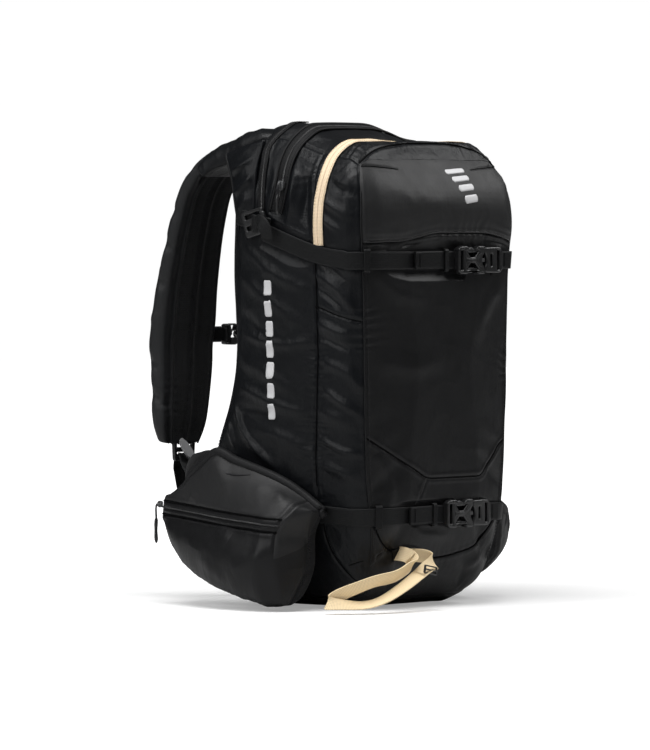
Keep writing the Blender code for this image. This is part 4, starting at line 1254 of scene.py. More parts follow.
# ----------------------------------------------------- relief of cloth
def near_box(place, path, reach):
    """Indices of the places within reach of a path's bounding box."""
    low, high = path.min(0) - reach, path.max(0) + reach
    return np.nonzero(np.all((place > low) & (place < high), axis=1))[0]


def point_tree(path):
    tree = KDTree(len(path))
    for i, point in enumerate(path):
        tree.insert(point, i)
    tree.balance()
    return tree


def seam_shape(place, seams):
    """Height along the normal: grooves, rolled cloth beside them, puckers running off them."""
    height = np.zeros(len(place))
    for k, (path, depth, pucker, period, reach, width) in enumerate(seams):
        path = resample(np.asarray(path)[:, :3], .0015)
        near = near_box(place, path, .03)
        if not len(near):
            continue
        tree = point_tree(path)
        hits = [tree.find(point) for point in place[near]]
        index = np.array([hit[1] for hit in hits])
        dist = np.array([hit[2] for hit in hits])
        length = arc(path)
        along = length[index]
        ends = (index == 0) | (index == len(path) - 1)
        fade = smooth(0, .012, along) * smooth(0, .012, length[-1] - along)
        bell = np.exp(-(dist / width) ** 2)
        groove = -depth * bell * np.where(ends, bell, 1)
        roll = depth * .55 * np.exp(-((dist - 2.6 * width) / (1.4 * width)) ** 2) * fade
        full = np.full(len(along), 1.0)
        wobble = noise3(np.stack([along * 60, full * (k * 7.1), dist * 30], 1), 3)
        amount = noise3(np.stack([along * 21, full * (k * 3.3 + 9), dist * 0], 1), 4)
        amount = smooth(-.15, .65, amount)
        phase = along / period * 2 * math.pi + wobble * 4.5
        ripple = (pucker * amount * np.sin(phase) * np.exp(-dist / (reach * (.30 + .35 * amount)))
                  * (1 - np.exp(-(dist / .0022) ** 2)) * fade)
        height[near] += groove + roll + ripple
    return height


def fold_shape(place, folds):
    height = np.zeros(len(place))
    for points, half, crest in folds:
        path = catmull(points, .003)[:, :3]
        near = near_box(place, path, half * 3)
        if not len(near):
            continue
        gaps = np.linalg.norm(place[near][:, None, :] - path[None], axis=2)
        index = gaps.argmin(1)
        dist = gaps[np.arange(len(near)), index]
        along = arc(path)
        share = along[index] / along[-1]
        fade = np.sin(np.clip(share * .94 + .03, 0, 1) * math.pi) ** .6
        skew = noise3(place[near] * 70, 11) * .25
        height[near] += (crest * 1.65 * fade
                         * np.exp(-(dist / (half * (.62 + skew * .3))) ** 2))
    return height


def cloth_noise(place, amount, scale, seed, stretch=(1, 1, 1)):
    """Soft crumple of real cloth: ridged noise at two scales."""
    place = place * np.array(stretch)
    shift = np.stack([noise3(place * scale * .6 + offset, seed + 5 + k)
                      for k, offset in enumerate((0, 31, 67))], 1) * .35
    coarse = noise3(place * scale + shift, seed)
    fine = noise3(place * scale * 2.3 + shift, seed + 1)
    ridge = (1 - np.abs(coarse)) ** 2 - .5
    return amount * (ridge * .75 + fine * .35)


def emboss(ob, amount, scale, seed, stretch=(1, 1, 1), seams=(), folds=(), more=None, after=None):
    """Raises an object's cloth by its seams, folds and crumple.

    `more` gives further heights, `after` moves the raised places.
    """
    place = vertex_data(ob.data, "co")
    height = (seam_shape(place, seams) + fold_shape(place, folds)
              + cloth_noise(place, amount, scale, seed, stretch))
    if more:
        height += more(place)
    place = place + vertex_data(ob.data, "normal") * height[:, None]
    set_coords(ob, after(place) if after else place)
    ob.data.shade_smooth()


# ----------------------------------------------------- lines of the straps and zips on the bag
def round_side(x_end, y_end, z_front, z_side=None, sign=-1, sag=None):
    """From the pack's side round the front corner and across the front.

    The height on the side runs evenly from z_side, or follows sag, a table of (y, z).
    """
    box = []
    for k in range(9):
        share = k / 8
        y = y_end + (-HALF_Y + ROUND_Y - y_end) * share
        z = curve_at(sag, y) if sag else z_side + (z_front - z_side) * share
        box.append((sign * HALF_X, y, z))
    box += [(sign * HALF_X, -HALF_Y + ROUND_Y * k, z_front) for k in (.8, .6, .4, .2)]
    box.append((sign * (HALF_X - .0005), -HALF_Y, z_front))
    box += [(sign * (HALF_X - ROUND_X * k), -HALF_Y, z_front) for k in (.2, .4, .6, .8, 1)]
    path, out = on_box(box)
    x, y, z = path[-1]
    steps = max(2, int(abs(x_end - x) / .006))
    across = [(x + (x_end - x) * (i + 1) / steps, y, z) for i in range(steps)]
    return np.vstack([path, across]), unit(np.vstack([out, np.tile([0, -1.0, 0], (steps, 1))]))


UPPER_Z, LOWER_Z = .419, .113         # heights of the compression straps across the front
UPPER_LEFT = round_side(.032, .040, UPPER_Z,
                        sag=[(-.098, .419), (-.043, .426), (.021, .4462), (.040, .4525)])
LOWER_LEFT = round_side(.012, .032, LOWER_Z, .120)
UPPER_RIGHT = round_side(.090, -.060, UPPER_Z, .423, sign=1)
LOWER_RIGHT = round_side(.068, -.052, LOWER_Z, .124, sign=1)


def over_top(rows):
    """A line up the left side to the middle, and down the right."""
    return rows + mirror(rows[:-1])[::-1]


CREAM_PATH = over_top([
    (-.15, -.0428, .43), (-.15, -.0438, .484), (-.1485, -.0462, .505), (-.144, -.048, .528),
    (-.134, -.047, .546), (-.119, -.048, .557), (-.095, -.05, .564), (-.065, -.047, .566),
    (-.03, -.04, .567), (0, -.037, .566)])
MAIN_PATH = over_top([
    (-.153, .0215, .478), (-.1515, .016, .501), (-.15, .0135, .516), (-.144, .0125, .538),
    (-.132, .0115, .556), (-.113, .009, .57), (-.062, .0115, .58), (0, .0115, .581)])
BURST_PATH = [(-.1535, .0455, .462)] + BURST + [(-.075, .046, .583)]

# tight lines: (path, out, half width, reach of the pull)
PRESS = [(path + out * .0018, out, .0115, reach)
         for (path, out), reach in ((UPPER_LEFT, .015), (LOWER_LEFT, .008),
                                    (UPPER_RIGHT, .015), (LOWER_RIGHT, .008))]
PRESS += [(*tight(rows, .004, .0010), half, .004)
          for rows, half in ((CREAM_PATH, .0072), (MAIN_PATH, .0080), (BURST_PATH, .0050),
                             (mirror(BURST_PATH), .0050))]


def press_under(place):
    """Pulls the cloth in under tight webbing and flat under the zips."""
    for path, out, half, reach in PRESS:
        path, out = even(path, out, .003)
        tang = tangents(path)
        across = np.cross(tang, out)
        near = near_box(place, path, .03)
        if not len(near):
            continue
        tree = point_tree(path)
        index = np.array([tree.find(point)[1] for point in place[near]])
        away = place[near] - path[index]
        height = np.sum(away * out[index], 1)
        lateral = np.abs(np.sum(away * across[index], 1))
        endwise = np.abs(np.sum(away * tang[index], 1))
        beside = np.where(lateral > half, ((lateral - half) / reach) ** 2 * .006, 0)
        allowed = -.0013 + beside + np.maximum(0, endwise - .003) * 1.2
        over = np.where((height > allowed) & (height < .014), height - allowed, 0)
        place[near] -= out[index] * over[:, None]
    return place


# ----------------------------------------------------- fabric panels of the bag
# panel: (piece, CAD node, slot, material, subdivision, crumple, crumple scale)
PANELS = {
    "front": ("front_fabric", "front_panel", "coated_fabric", COATED, 2, .0005, 22),
    # the goggle pocket takes the lighter satin copy, as painted light
    "goggle": ("goggle_pocket_fabric", "goggle_pocket", "coated_fabric", COATED_PAINTED_LIT, 2,
               .00055, 22),
    "left": ("left_side_fabric", "left_side_panel", "bag_fabric", BAG_NYLON, 2, .0012, 30),
    "right": ("right_side_fabric", "right_side_panel", "bag_fabric", BAG_NYLON, 2, .0012, 30),
    "top": ("top_fabric", "top_panel", "bag_fabric", BAG_DARK, 2, .0011, 30),
    "base": ("base_fabric", "base_panel", "coated_fabric", COATED, 1, .0006, 22),
    "back": ("back_fabric", "back_pad", "mesh_foam", MESH_BACK, 1, .0003, 22),
}


def back_channels(place):
    """Foam blocks of the back panel: a spine channel, two side channels and cross channels."""
    x, z = np.abs(place[:, 0]), place[:, 2]
    ends = np.minimum(smooth(.030, .050, z), 1 - smooth(.530, .550, z))
    spine = np.exp(-(x / .016) ** 4)
    flank = np.exp(-((x - .062 - .010 * np.sin(z * 9)) / .0045) ** 2)
    cross = (sum(np.exp(-((z - c - x * .25) / .0045) ** 2) for c in (.232, .325, .418))
             * smooth(.016, .030, x) * (1 - smooth(.105, .120, x)))
    rim = np.exp(-((x - .118) / .004) ** 2)
    return -ends * (.0050 * spine + .0034 * flank + .0028 * cross + .0030 * rim)


def right_folds(place):
    """The first of the left side's folds, repeated on the right."""
    return fold_shape(place * [-1, 1, 1], FOLDS[:18])


def bag_panels():
    pieces = []
    for key, (name, node, slot, mat, level, crumple, scale) in PANELS.items():
        ob = piece_of(BAG, BAG.panel == key, name, mat, level)
        emboss(ob, crumple, scale, 2, (1, 1, .8), SEAMS, FOLDS,
               more={"right": right_folds, "back": back_channels}.get(key),
               after=None if key == "back" else press_under)
        pieces.append(claim(ob, "pack", slot, node))
    return pieces


SKIN_TREE = mesh_tree(*bag_panels())      # the finished bag, for everything that lies on it


def on_bag(points, lift):
    """A path on the finished bag: place and smoothed outward direction."""
    path, out = nearest(SKIN_TREE, catmull(points, .003)[:, :3])
    guide = nearest(BAG_TREE, path)[1]
    out = np.where((np.sum(out * guide, 1) < 0)[:, None], -out, out)
    out = relax(unit(out * .35 + guide * .65), 5, directions=True)
    return relax(path, 5) + out * lift, out


# ===================================================== shoulder straps
STRAP_FOLDS = [
    ([(-.146, .222, .5), (-.14, .205, .478), (-.128, .192, .47)], .010, .0022),
    ([(-.15, .228, .455), (-.148, .212, .438), (-.135, .2, .43)], .011, .0020),
    ([(-.152, .238, .405), (-.148, .222, .392), (-.135, .212, .386)], .012, .0018),
    ([(-.152, .25, .352), (-.15, .228, .345)], .011, -.0016),
    ([(-.15, .25, .3), (-.148, .226, .286)], .013, .0020),
    ([(-.146, .248, .262), (-.142, .224, .246), (-.128, .219, .24)], .012, .0022),
    ([(-.134, .238, .228), (-.128, .224, .214)], .009, .0020),
    ([(-.132, .19, .535), (-.128, .17, .52), (-.115, .158, .512)], .010, .0022),
    ([(-.11, .218, .262), (-.09, .217, .256)], .010, .0022),
    ([(-.12, .217, .3), (-.08, .218, .312)], .012, .0016)]


def shoulder_strap(part, tag, side):
    body = tag + "_strap"
    low, high = part.edges
    col = np.arange(len(part.faces)) % part.count
    inner = (col >= low) & (col < high)
    seams = [(part.column(c), .0010, .0006, .011, .018, .0018) for c in part.edges]
    outer = piece_of(part, ~inner, tag + "_strap_outer", STRAP_NYLON, 2)
    emboss(outer, .0006, 32, 21, seams=seams, folds=sided_folds(STRAP_FOLDS, side))
    claim(outer, body, "bag_fabric", tag + "_shoulder_strap")
    mesh = piece_of(part, inner, tag + "_strap_mesh", MESH_BLACK, 2)
    # a sewn channel down the middle of the padding
    channel = [(part.column((low + high) // 2), .0016, .0003, .014, .012, .0030)]
    emboss(mesh, .0004, 40, 22, seams=seams, more=lambda place: seam_shape(place, channel))
    claim(mesh, body, "mesh_foam")
    for k, c in enumerate(part.edges):
        path, out = even(part.column(c), part.column_out(c), .003)
        tube(f"{tag}_strap_piping_{k}", path + out * .0003, .0013, BINDING, body)
        across = frames(path, out)[1]
        offset = .0045 if (k == 0) == (side > 0) else -.0045
        stitches(f"{tag}_strap_stitch_{k}", path + across * offset + out * .0002, out, body)


for part, (tag, side) in zip(STRAPS, SIDES):
    shoulder_strap(part, tag, side)

# ----------------------------------------------------- yoke: from the pack's top into each strap
# (y, top z, half width, centre x, depth under the top)
YOKE = [(.046, .571, .040, -.086, .010), (.060, .5765, .043, -.088, .014),
        (.080, .5780, .0455, -.090, .022), (.098, .5745, .0465, -.092, .030),
        (.114, .5690, .0465, -.093, .034), (.130, .5625, .0462, -.094, .030),
        (.146, .5560, .0455, -.097, .028), (.158, .5480, .0452, -.099, .026),
        (.170, .5370, .0450, -.101, .024)]
YOKE_FOLDS = [([(-.134, .066, .56), (-.12, .078, .576), (-.1, .088, .58)], .009, .0008),
              ([(-.137, .09, .552), (-.125, .096, .57), (-.1, .104, .574)], .009, .0009),
              ([(-.138, .112, .545), (-.128, .114, .562), (-.104, .118, .569)], .009, -.0007),
              ([(-.14, .13, .535), (-.13, .134, .554), (-.1, .138, .56)], .010, .0008),
              ([(-.06, .08, .574), (-.05, .092, .566)], .008, .0012),
              ([(-.12, .06, .574), (-.09, .062, .577)], .008, -.0006)]


def settle_right_yoke(place):
    """It lies on the drooping shoulder of the bag."""
    place[:, 2] -= (.0105 * smooth(.040, .105, place[:, 0])
                    * (1 - smooth(.118, .165, place[:, 1])))
    return place


def yoke(tag, side):
    rows = catmull(np.insert(YOKE, 0, 0, axis=1), .004)
    tang = unit(np.gradient(rows[:, 1:3], axis=0))
    angle = circle(44)
    u, v = squared(np.cos(angle), .42), squared(np.sin(angle), .62)
    rings = []
    for (_, y, z, half, centre, deep), (tang_y, tang_z) in zip(rows, tang):
        depth = np.where(v > 0, (v - 1) * deep * .5, -deep * .5 + v * deep * .5)
        drop = depth - (np.abs(u) ** 5) * .006
        rings.append(np.stack([side * (centre + u * half), y - tang_z * drop,
                               z + tang_y * drop], 1))
    rings = close_ends(rings, (.99, .6, .25))
    ob = outward(make(tag + "_yoke_fabric", *sweep(rings, cap=False), BAG_DARK))
    refine(ob, 2)
    emboss(ob, .0005, 42, 31, (1, 1.5, 1), folds=sided_folds(YOKE_FOLDS, side),
           after=settle_right_yoke if side < 0 else None)
    claim(ob, slot="bag_fabric")
    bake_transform(ob)


for tag, side in SIDES:
    yoke(tag, side)

# ----------------------------------------------------- lower webbing and ladder locks
LOCK_Y, LOCK_Z = .2285, .184
# the webbing from the pack up to the lock: places (for the left), directions
LOWER_WEB = [(-.128, .118, .086), (-.126, .142, .106), (-.116, .172, .132),
             (-.107, .2, .151), (-.101, .218, .166), (-.098, .226, .1795)]
LOWER_WEB_OUT = np.array([(0, -.62, .78), (0, -.62, .78), (0, -.55, .83), (0, -.55, .83),
                          (0, -.75, .66), (0, -.95, .3)])
LIFT_TAB = [(-.0034, .013), (.0034, .013), (.0062, .002), (.0064, -.008), (.004, -.016),
            (0, -.0185), (-.004, -.016), (-.0064, -.008), (-.0062, .002)]


def ladder_lock(tag, side):
    body = tag + "_strap"
    x, y, z = side * -.098, LOCK_Y, LOCK_Z
    half, high = .019, .013
    outline = [(-half, high), (half, high), (half * .92, -high), (-half * .92, -high)]
    lock = plate(tag + "_ladder_body",
                 [(outline, .004), (rect(-.0135, .0135, .0085, .0040), .001),
                  (rect(-.0135, .0135, -.0020, -.0070), .001)],
                 depth=.0052, bevel=.0012, matrix=facing_y(x, y, z))
    tilted = (Matrix.Translation((x + side * -.004, y - .0074, z + .004))
              @ Matrix.Rotation(math.radians(-34 * side), 4, "Y")
              @ Matrix.Rotation(math.radians(90 - 14), 4, "X"))
    lift_tab = plate(tag + "_ladder_tab", [(LIFT_TAB, .003)], depth=.0034, bevel=.0013,
                     matrix=tilted, mat=PLASTIC_GREY)
    merge(tag + "_ladder_lock_moulding", [lock, lift_tab], body, node=tag + "_ladder_lock")
    strap(tag + "_ladder_keeper",
          [(x, y - .0015, z + .0075), (x, y - .003, z + .018), (x, y - .001, z + .032)],
          (0, -1, 0), .024, .0018, body, step=.002)
    path = catmull(sided(LOWER_WEB, side), .004)
    shares = np.linspace(0, 1, len(path))
    out = np.stack([np.interp(shares, np.linspace(0, 1, 6), LOWER_WEB_OUT[:, k])
                    for k in range(3)], 1)
    web = strap(tag + "_lower_webbing", path, out, .0235, .0017, body=None,
                node=tag + "_strap_webbing")
    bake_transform(web)
    strap(tag + "_webbing_tail",
          [(x, y + .004, z - .004), (x + side * .002, y + .008, z - .020),
           (x + side * .006, y + .006, z - .044), (x + side * .009, y + .001, z - .064)],
          (0, 1, .1), .0235, .0017, body, step=.003)


for tag, side in SIDES:
    ladder_lock(tag, side)


# ----------------------------------------------------- trigger handle on the left strap
def trigger_handle():
    x, y, z = -.100, .2395, .2560
    half, high = .0118, .0355
    outline = [(-half, high), (half, high), (half, high * .2), (half * .74, 0),
               (half, -high * .35), (half * .92, -high), (-half * .92, -high),
               (-half, -high * .35), (-half * .74, 0), (-half, high * .2)]
    hole = rect(-.0062, .0062, -high + .0055, -high + .0120)
    parts = [plate("trigger_body", [(outline, .005), (hole, .002)], depth=.0105, bevel=.0030,
                   matrix=facing_y(x, y, z), mat=TRIGGER_RED, res=4)]
    for k in range(6):
        rib = z + .014 - k * .0042
        parts.append(tube(f"trigger_rib_{k}", [(x - .0082, y + .0050, rib), (x, y + .0055, rib),
                                               (x + .0082, y + .0050, rib)],
                          .0009, TRIGGER_RIB_RED, seg=6))
    parts.append(tube("trigger_cord", [(x, y, z + .034), (x, y - .001, z + .046)], .0020, THREAD))
    merge("trigger_grip", parts, "trigger", "signal_red", "trigger_handle")


trigger_handle()


# ----------------------------------------------------- clasps and the sternum strap
def clasp(prefix, socket_x, plug_x, socket_half, plug_half, y, z, depth, bodies, nodes):
    """A side-release clasp facing the wearer: a windowed female half and a pronged male half.

    The halves' sizes are (half length, half height); bodies and nodes are (socket, plug).
    """
    long, high = socket_half
    shape = [(-long, high * .92), (-long * .72, high), (long * .55, high), (long, high * .76),
             (long, high * .30), (long * .80, high * .12)]
    shape += flip_y(shape)[::-1]
    window = [(-long * .22, high * .84), (long * .62, high * .84), (long * .42, high * .40),
              (-long * .10, high * .40)]
    bar = rect(-long * .82, -long * .60, high * .78, -high * .78)
    parts = [plate(prefix + "_female", [(shape, long * .10), (window, long * .06),
                                        (flip_y(window), long * .06), (bar, long * .04)],
                   depth, depth * .16, facing_y(socket_x, y, z), res=4)]
    raised = facing_y(socket_x, y + depth / 2, z)
    rib = rect(-long * .44, -long * .36, high * .86, -high * .86)
    arrow = [(-long * .20, high * .18), (long * .50, high * .10), (long * .62, 0),
             (long * .50, -high * .10), (-long * .20, -high * .18)]
    for label, outline, rounding in (("_rib", rib, .03), ("_arrow", arrow, .06)):
        parts.append(plate(prefix + label, [(outline, long * rounding)], depth * .16,
                           depth * .05, raised))
    for k in range(5):
        x = socket_x + (-long * .02 + k * long * .11)
        for sign in (-1, 1):
            edge = z + sign * high * .99
            parts.append(tube(f"{prefix}_grip_{k}_{sign}", [(x, y + depth * .40, edge),
                                                            (x, y - depth * .40, edge)],
                              long * .030, PLASTIC, seg=6))
    merge(prefix + "_female_half", parts, bodies[0], node=nodes[0])

    long, high = plug_half
    face = facing_y(plug_x, y, z)
    shape = [(-long * .20, high * .80), (long * .60, high), (long * .90, high * .94),
             (long, high * .72)]
    shape += flip_y(shape)[::-1]
    bar = rect(long * .62, long * .80, high * .76, -high * .76)
    eye = [(long * .02, high * .40), (long * .36, high * .48), (long * .36, -high * .48),
           (long * .02, -high * .40)]
    parts = [plate(prefix + "_male", [(shape, long * .09), (bar, long * .04), (eye, long * .08)],
                   depth * .94, depth * .16, face, res=4)]
    prong = [(0, .74), (-.52, .70), (-.70, .86), (-.90, .76), (-.98, .52), (-.88, .46), (0, .54)]
    for sign in (-1, 1):
        arm = [(long * u, high * v * sign) for u, v in prong]
        parts.append(plate(f"{prefix}_prong_{sign}", [(arm, long * .03)], depth * .52,
                           depth * .12, face))
    guide = [(long * .05, high * .10), (-long * .80, high * .07), (-long * .90, 0),
             (-long * .80, -high * .07), (long * .05, -high * .10)]
    parts.append(plate(prefix + "_guide", [(guide, long * .03)], depth * .45, depth * .10, face))
    merge(prefix + "_male_half", parts, bodies[1], node=nodes[1])


STERNUM_Y, STERNUM_Z = .2280, .326
# (distance outwards from the clasp, y) of the webbing folded round each bar
STERNUM_FOLD = [(.015, .234), (.006, .2334), (0, .2332), (-.003, .2312), (-.004, .228),
                (-.003, .2248), (0, .2229), (.006, .224), (.015, .2326)]


def sternum_strap():
    for tag, start, end in (("left", -.0460, -.0240), ("right", .0270, .0460)):
        path = [(x, STERNUM_Y + .0070 + .0006 * math.sin(x * 300), STERNUM_Z)
                for x in np.linspace(start, end, 8)]
        strap(f"sternum_webbing_{tag}", path, (0, -1, 0), .0195, body=f"sternum_{tag}",
              node=f"sternum_strap_{tag}")
    clasp("sternum_clasp", socket_x=-.0135, plug_x=.0070, socket_half=(.0130, .0130),
          plug_half=(.0145, .0122), y=STERNUM_Y, z=STERNUM_Z, depth=.0082,
          bodies=("sternum_socket", "sternum_right"), nodes=("sternum_socket", "sternum_plug"))
    for label, edge, sign, body in (("socket", -.0265, -1, "sternum_socket"),
                                    ("plug", .0215, 1, "sternum_right")):
        path = catmull([(edge + sign * away, y, STERNUM_Z) for away, y in STERNUM_FOLD], .0010)
        strap(f"sternum_fold_{label}", path, np.cross([0, 0, 1.0], tangents(path)), .0165,
              .0011, body, across=6)


sternum_strap()


# ===================================================== hip wings and pockets
def wing_cushion(tag, side):
    """The thick padded end inside each hip wing."""
    # (x, y, z, half height, half thickness)
    rows = catmull([(-.150, .112, .150, .034, .007), (-.1455, .132, .152, .036, .013),
                    (-.138, .152, .150, .036, .019), (-.129, .172, .147, .034, .018),
                    (-.122, .188, .140, .026, .012), (-.118, .195, .134, .012, .004)], .004)
    angle = circle(36)
    tang = tangents(rows[:, :3] * [1, 1, 0])
    rings = []
    for k, row in enumerate(rows):
        out = np.array([tang[k][1], -tang[k][0], 0])
        ring = (row[:3] + np.outer(squared(np.cos(angle), .6) * row[4], out)
                + np.outer(squared(np.sin(angle), .6) * row[3], [0, 0, 1.0]))
        rings.append(ring * [side, 1, 1])
    ob = outward(make(f"{tag}_wing_cushion", *sweep(rings), MESH_SHADOW))
    refine(ob, 1)
    emboss(ob, .0009, 36, 61)
    claim(ob, tag + "_wing", "mesh_foam")


for tag, side in SIDES:
    wing_cushion(tag, side)

# ----------------------------------------------------- cloth from the pack's side to each strap
YOKE_REAR = np.array([(.462, -.1515, .0860), (.474, -.1525, .0885), (.497, -.1525, .0930),
                      (.519, -.1510, .0985), (.540, -.1485, .1090), (.556, -.1450, .1195),
                      (.566, -.1400, .1250)])                  # (z, x, y) of its taut rear edge
YOKE_SIDE_FOLDS = [
    ([(-.153, .06, .548), (-.155, .08, .532), (-.152, .098, .527)], .006, .0030),
    ([(-.155, .062, .52), (-.156, .078, .505), (-.153, .092, .5)], .007, .0026),
    ([(-.148, .07, .56), (-.148, .095, .552), (-.147, .112, .55)], .005, .0026),
    ([(-.156, .066, .492), (-.155, .082, .48)], .006, .0024),
    ([(-.154, .07, .536), (-.152, .095, .516)], .004, -.0020)]


def rim_loop(index, last_u, last_v):
    """Pairs of neighbouring indices round the border of a grid."""
    loop = [index(u, 0) for u in range(last_u + 1)]
    loop += [index(last_u, v) for v in range(1, last_v + 1)]
    loop += [index(u, last_v) for u in range(last_u - 1, -1, -1)]
    loop += [index(0, v) for v in range(last_v - 1, 0, -1)]
    return zip(loop, loop[1:] + loop[:1])


def yoke_side(tag, side):
    heights = np.linspace(.462, .564, 40)
    cells = 30                                 # from the pack's side to the rear edge
    outer, inner = [], []
    for z in heights:
        start = on_box([(-HALF_X, .056, z)], .0012)[0][0]
        start = np.array([min(start[0], -.1400), .056, z])
        end = np.array([curve_at(YOKE_REAR[:, [0, 1]], z), curve_at(YOKE_REAR[:, [0, 2]], z), z])
        for i in range(cells + 1):
            share = i / cells
            tuck = min(1, max(0, (z - .520) / .044)) ** 2 * share
            place = start * (1 - share) + end * share + np.array([.006, -.004, -.015]) * tuck
            arch = math.sin(share * math.pi)
            outer.append(place + np.array([-arch * .0045, 0, 0]))
            inner.append(place + np.array([-arch * .0045 + .0035 + .003 * arch, 0, 0]))
    rows, cols = len(heights), cells + 1
    outer, inner = np.array(outer), np.array(inner)
    if side < 0:                               # it sinks with the drooping shoulder
        for layer in (outer, inner):
            layer[:, 2] -= (.0125 * (1 - smooth(.122, .168, layer[:, 1]))
                            * smooth(.495, .552, layer[:, 2]))
    height = fold_shape(outer, YOKE_SIDE_FOLDS) + cloth_noise(outer, .0012, 44, 71)
    fade = np.array([min(1, min(i, cells - i) / 4, min(k, rows - 1 - k) / 4)
                     for k in range(rows) for i in range(cols)])
    outer[:, 0] -= height * fade
    total = rows * cols

    def index(i, k):
        return k * cols + i

    faces = []
    for k, i in product(range(rows - 1), range(cells)):
        a, b, c, d = index(i, k), index(i + 1, k), index(i + 1, k + 1), index(i, k + 1)
        faces += [(a, b, c, d), (total + a, total + d, total + c, total + b)]
    for a, b in rim_loop(index, cells, rows - 1):
        faces.append((b, a, total + a, total + b))
    verts = np.vstack([outer, inner]) * [side, 1, 1]
    ob = outward(make(f"{tag}_yoke_side_fabric", verts, faces, BAG_NYLON))
    claim(ob, "pack", "bag_fabric")
    edge = outer[cells::cols] * [side, 1, 1]
    tube(f"{tag}_yoke_side_edge", edge + np.array([side * .0014, .0004, 0]), .0019, BINDING,
         "pack", seg=10)


for tag, side in SIDES:
    yoke_side(tag, side)


# ----------------------------------------------------- zip sliders
def zip_slider(label, at, along, out, drop, body, node=None, scale=1.0, fixed=None):
    """Zip slider with its bridge, and a cord pull of length `drop` with a moulded grip.

    With `fixed`, the slider itself rides on that body and only its pull on `body`.
    """
    along, out = unit(np.asarray(along, float)), unit(np.asarray(out, float))
    across = np.cross(along, out)
    turn = Matrix(np.column_stack([along, across, out]).tolist()).to_4x4()
    outline = [(-.0048, -.0028), (-.0010, -.0044), (.0048, -.0036), (.0048, .0036),
               (-.0010, .0044), (-.0048, .0028)]
    base = plate(label + "_a", [([(x * scale, y * scale) for x, y in outline], .0016 * scale)],
                 .0034 * scale, .0009 * scale, Matrix.Translation(Vector(at)) @ turn,
                 PLASTIC_MID)
    # (height, place along) of the bridge
    bridge = [at + out * high * scale + along * place * scale
              for high, place in ((.0016, -.0034), (.0040, -.0018), (.0042, .0014),
                                  (.0016, .0036))]
    slider = [base, tube(label + "_b", catmull(bridge, .0012), .0009 * scale, PLASTIC_MID)]
    top = at + out * .0036 * scale
    down = np.array([0, 0, -1.0])
    away = unit(out * np.array([1, 1, 0]))
    # two cords: (away, down, across) from the slider's top
    cords = (((.0010, 0, 0), (.0024, .004, .0012), (.0022, drop * .30, .0015),
              (.0018, drop * .42, 0)),
             ((.0010, 0, 0), (.0022, .004, -.0014), (.0020, drop * .28, -.0014),
              (.0016, drop * .42, 0)))
    pull = [tube(label + f"_c{k}",
                 catmull([top + away * a + down * b + across * c for a, b, c in cord], .002),
                 .0011, THREAD, seg=7) for k, cord in enumerate(cords)]
    grip = top + away * .0018 + down * drop * .36
    path = [grip + down * drop * share + away * .0006 * math.sin(share * 5)
            for share in np.linspace(0, .64, 12)]
    radii = np.interp(np.linspace(0, 1, 12), [0, .08, .25, .5, .8, .94, 1],
                      [.0014, .0022, .0024, .0020, .0024, .0024, .0016])
    pull.append(tube(label + "_g", path, radii, PLASTIC, seg=12))
    if fixed:
        merge(label + "_body", slider, fixed)
        slider = []
    merge(label, slider + pull, body, node=node)


# ----------------------------------------------------- the wings themselves
HIP_FOLDS = [([(-.198, -.046, .12), (-.196, -.05, .095), (-.192, -.053, .078)], .005, .0024),
             ([(-.186, -.056, .116), (-.184, -.058, .092)], .004, -.0020),
             ([(-.178, -.06, .108), (-.18, -.059, .085)], .004, .0020),
             ([(-.176, .03, .146), (-.182, .02, .132), (-.19, .012, .124)], .010, .0016),
             ([(-.176, .1, .174), (-.178, .086, .16), (-.18, .075, .148)], .012, .0020),
             ([(-.172, 0, .14), (-.184, -.012, .128)], .009, .0016),
             ([(-.18, .14, .135), (-.182, .12, .128)], .010, .0014),
             ([(-.208, -.02, .08), (-.211, .01, .06), (-.21, .04, .045)], .018, .0016),
             ([(-.2, .08, .095), (-.206, .05, .085)], .015, .0014),
             ([(-.196, .1, .06), (-.206, .06, .04)], .012, .0016)]
POCKET_MOUTH = [(-.1745, .09, .1615), (-.176, .079, .1592), (-.1765, .068, .1585),
                (-.1765, .057, .1592), (-.175, .0455, .1612)]
NOSE = 7                       # rings of the end patch at the front of the pocket


def hip_fabric(part, tag, side):
    first = HIP_FIRST
    face = np.arange(len(part.faces))
    group, ring = HIP_GROUPS[face % part.count], face // part.count
    padding = np.isin(group, (0, 1, 2, 11, 12))
    patch = (ring < NOSE) & np.isin(group, (3, 4, 5, 6, 7))
    top = np.isin(group, (3, 4, 5)) & ~patch
    band = (group == 6) & ~patch
    belly = ~(padding | patch | top | band)
    seams = [(part.column(first[6], NOSE), .0011, .0004, .012, .014, .0016),
             (part.column(first[7], NOSE), .0011, .0004, .012, .016, .0016),
             (part.column(first[11]), .0010, .0005, .012, .014, .0018),
             (part.rings()[NOSE, first[4]:first[8]], .0011, .0007, .008, .012, .0016)]
    # the top panels and end patches take the lighter satin copy, as painted light
    for faces, label, mat, slot, node, crumple in (
            (top, "pocket_top", COATED_PAINTED_LIT, "coated_fabric", None, .0005),
            (band, "pocket_zip_band", COATED, "coated_fabric", None, .0002),
            (belly, "pocket_belly", COATED, "coated_fabric", tag + "_hip_pocket", .0005),
            (patch, "pocket_end_patch", COATED_PAINTED_LIT, "coated_fabric", None, .0010),
            (padding, "wing_padding", MESH_BLACK, "mesh_foam", tag + "_hip_wing", .0004)):
        ob = piece_of(part, faces, f"{tag}_{label}", mat, 2)
        emboss(ob, crumple, 34, 41, seams=seams, folds=sided_folds(HIP_FOLDS, side))
        claim(ob, tag + "_wing", slot, node)


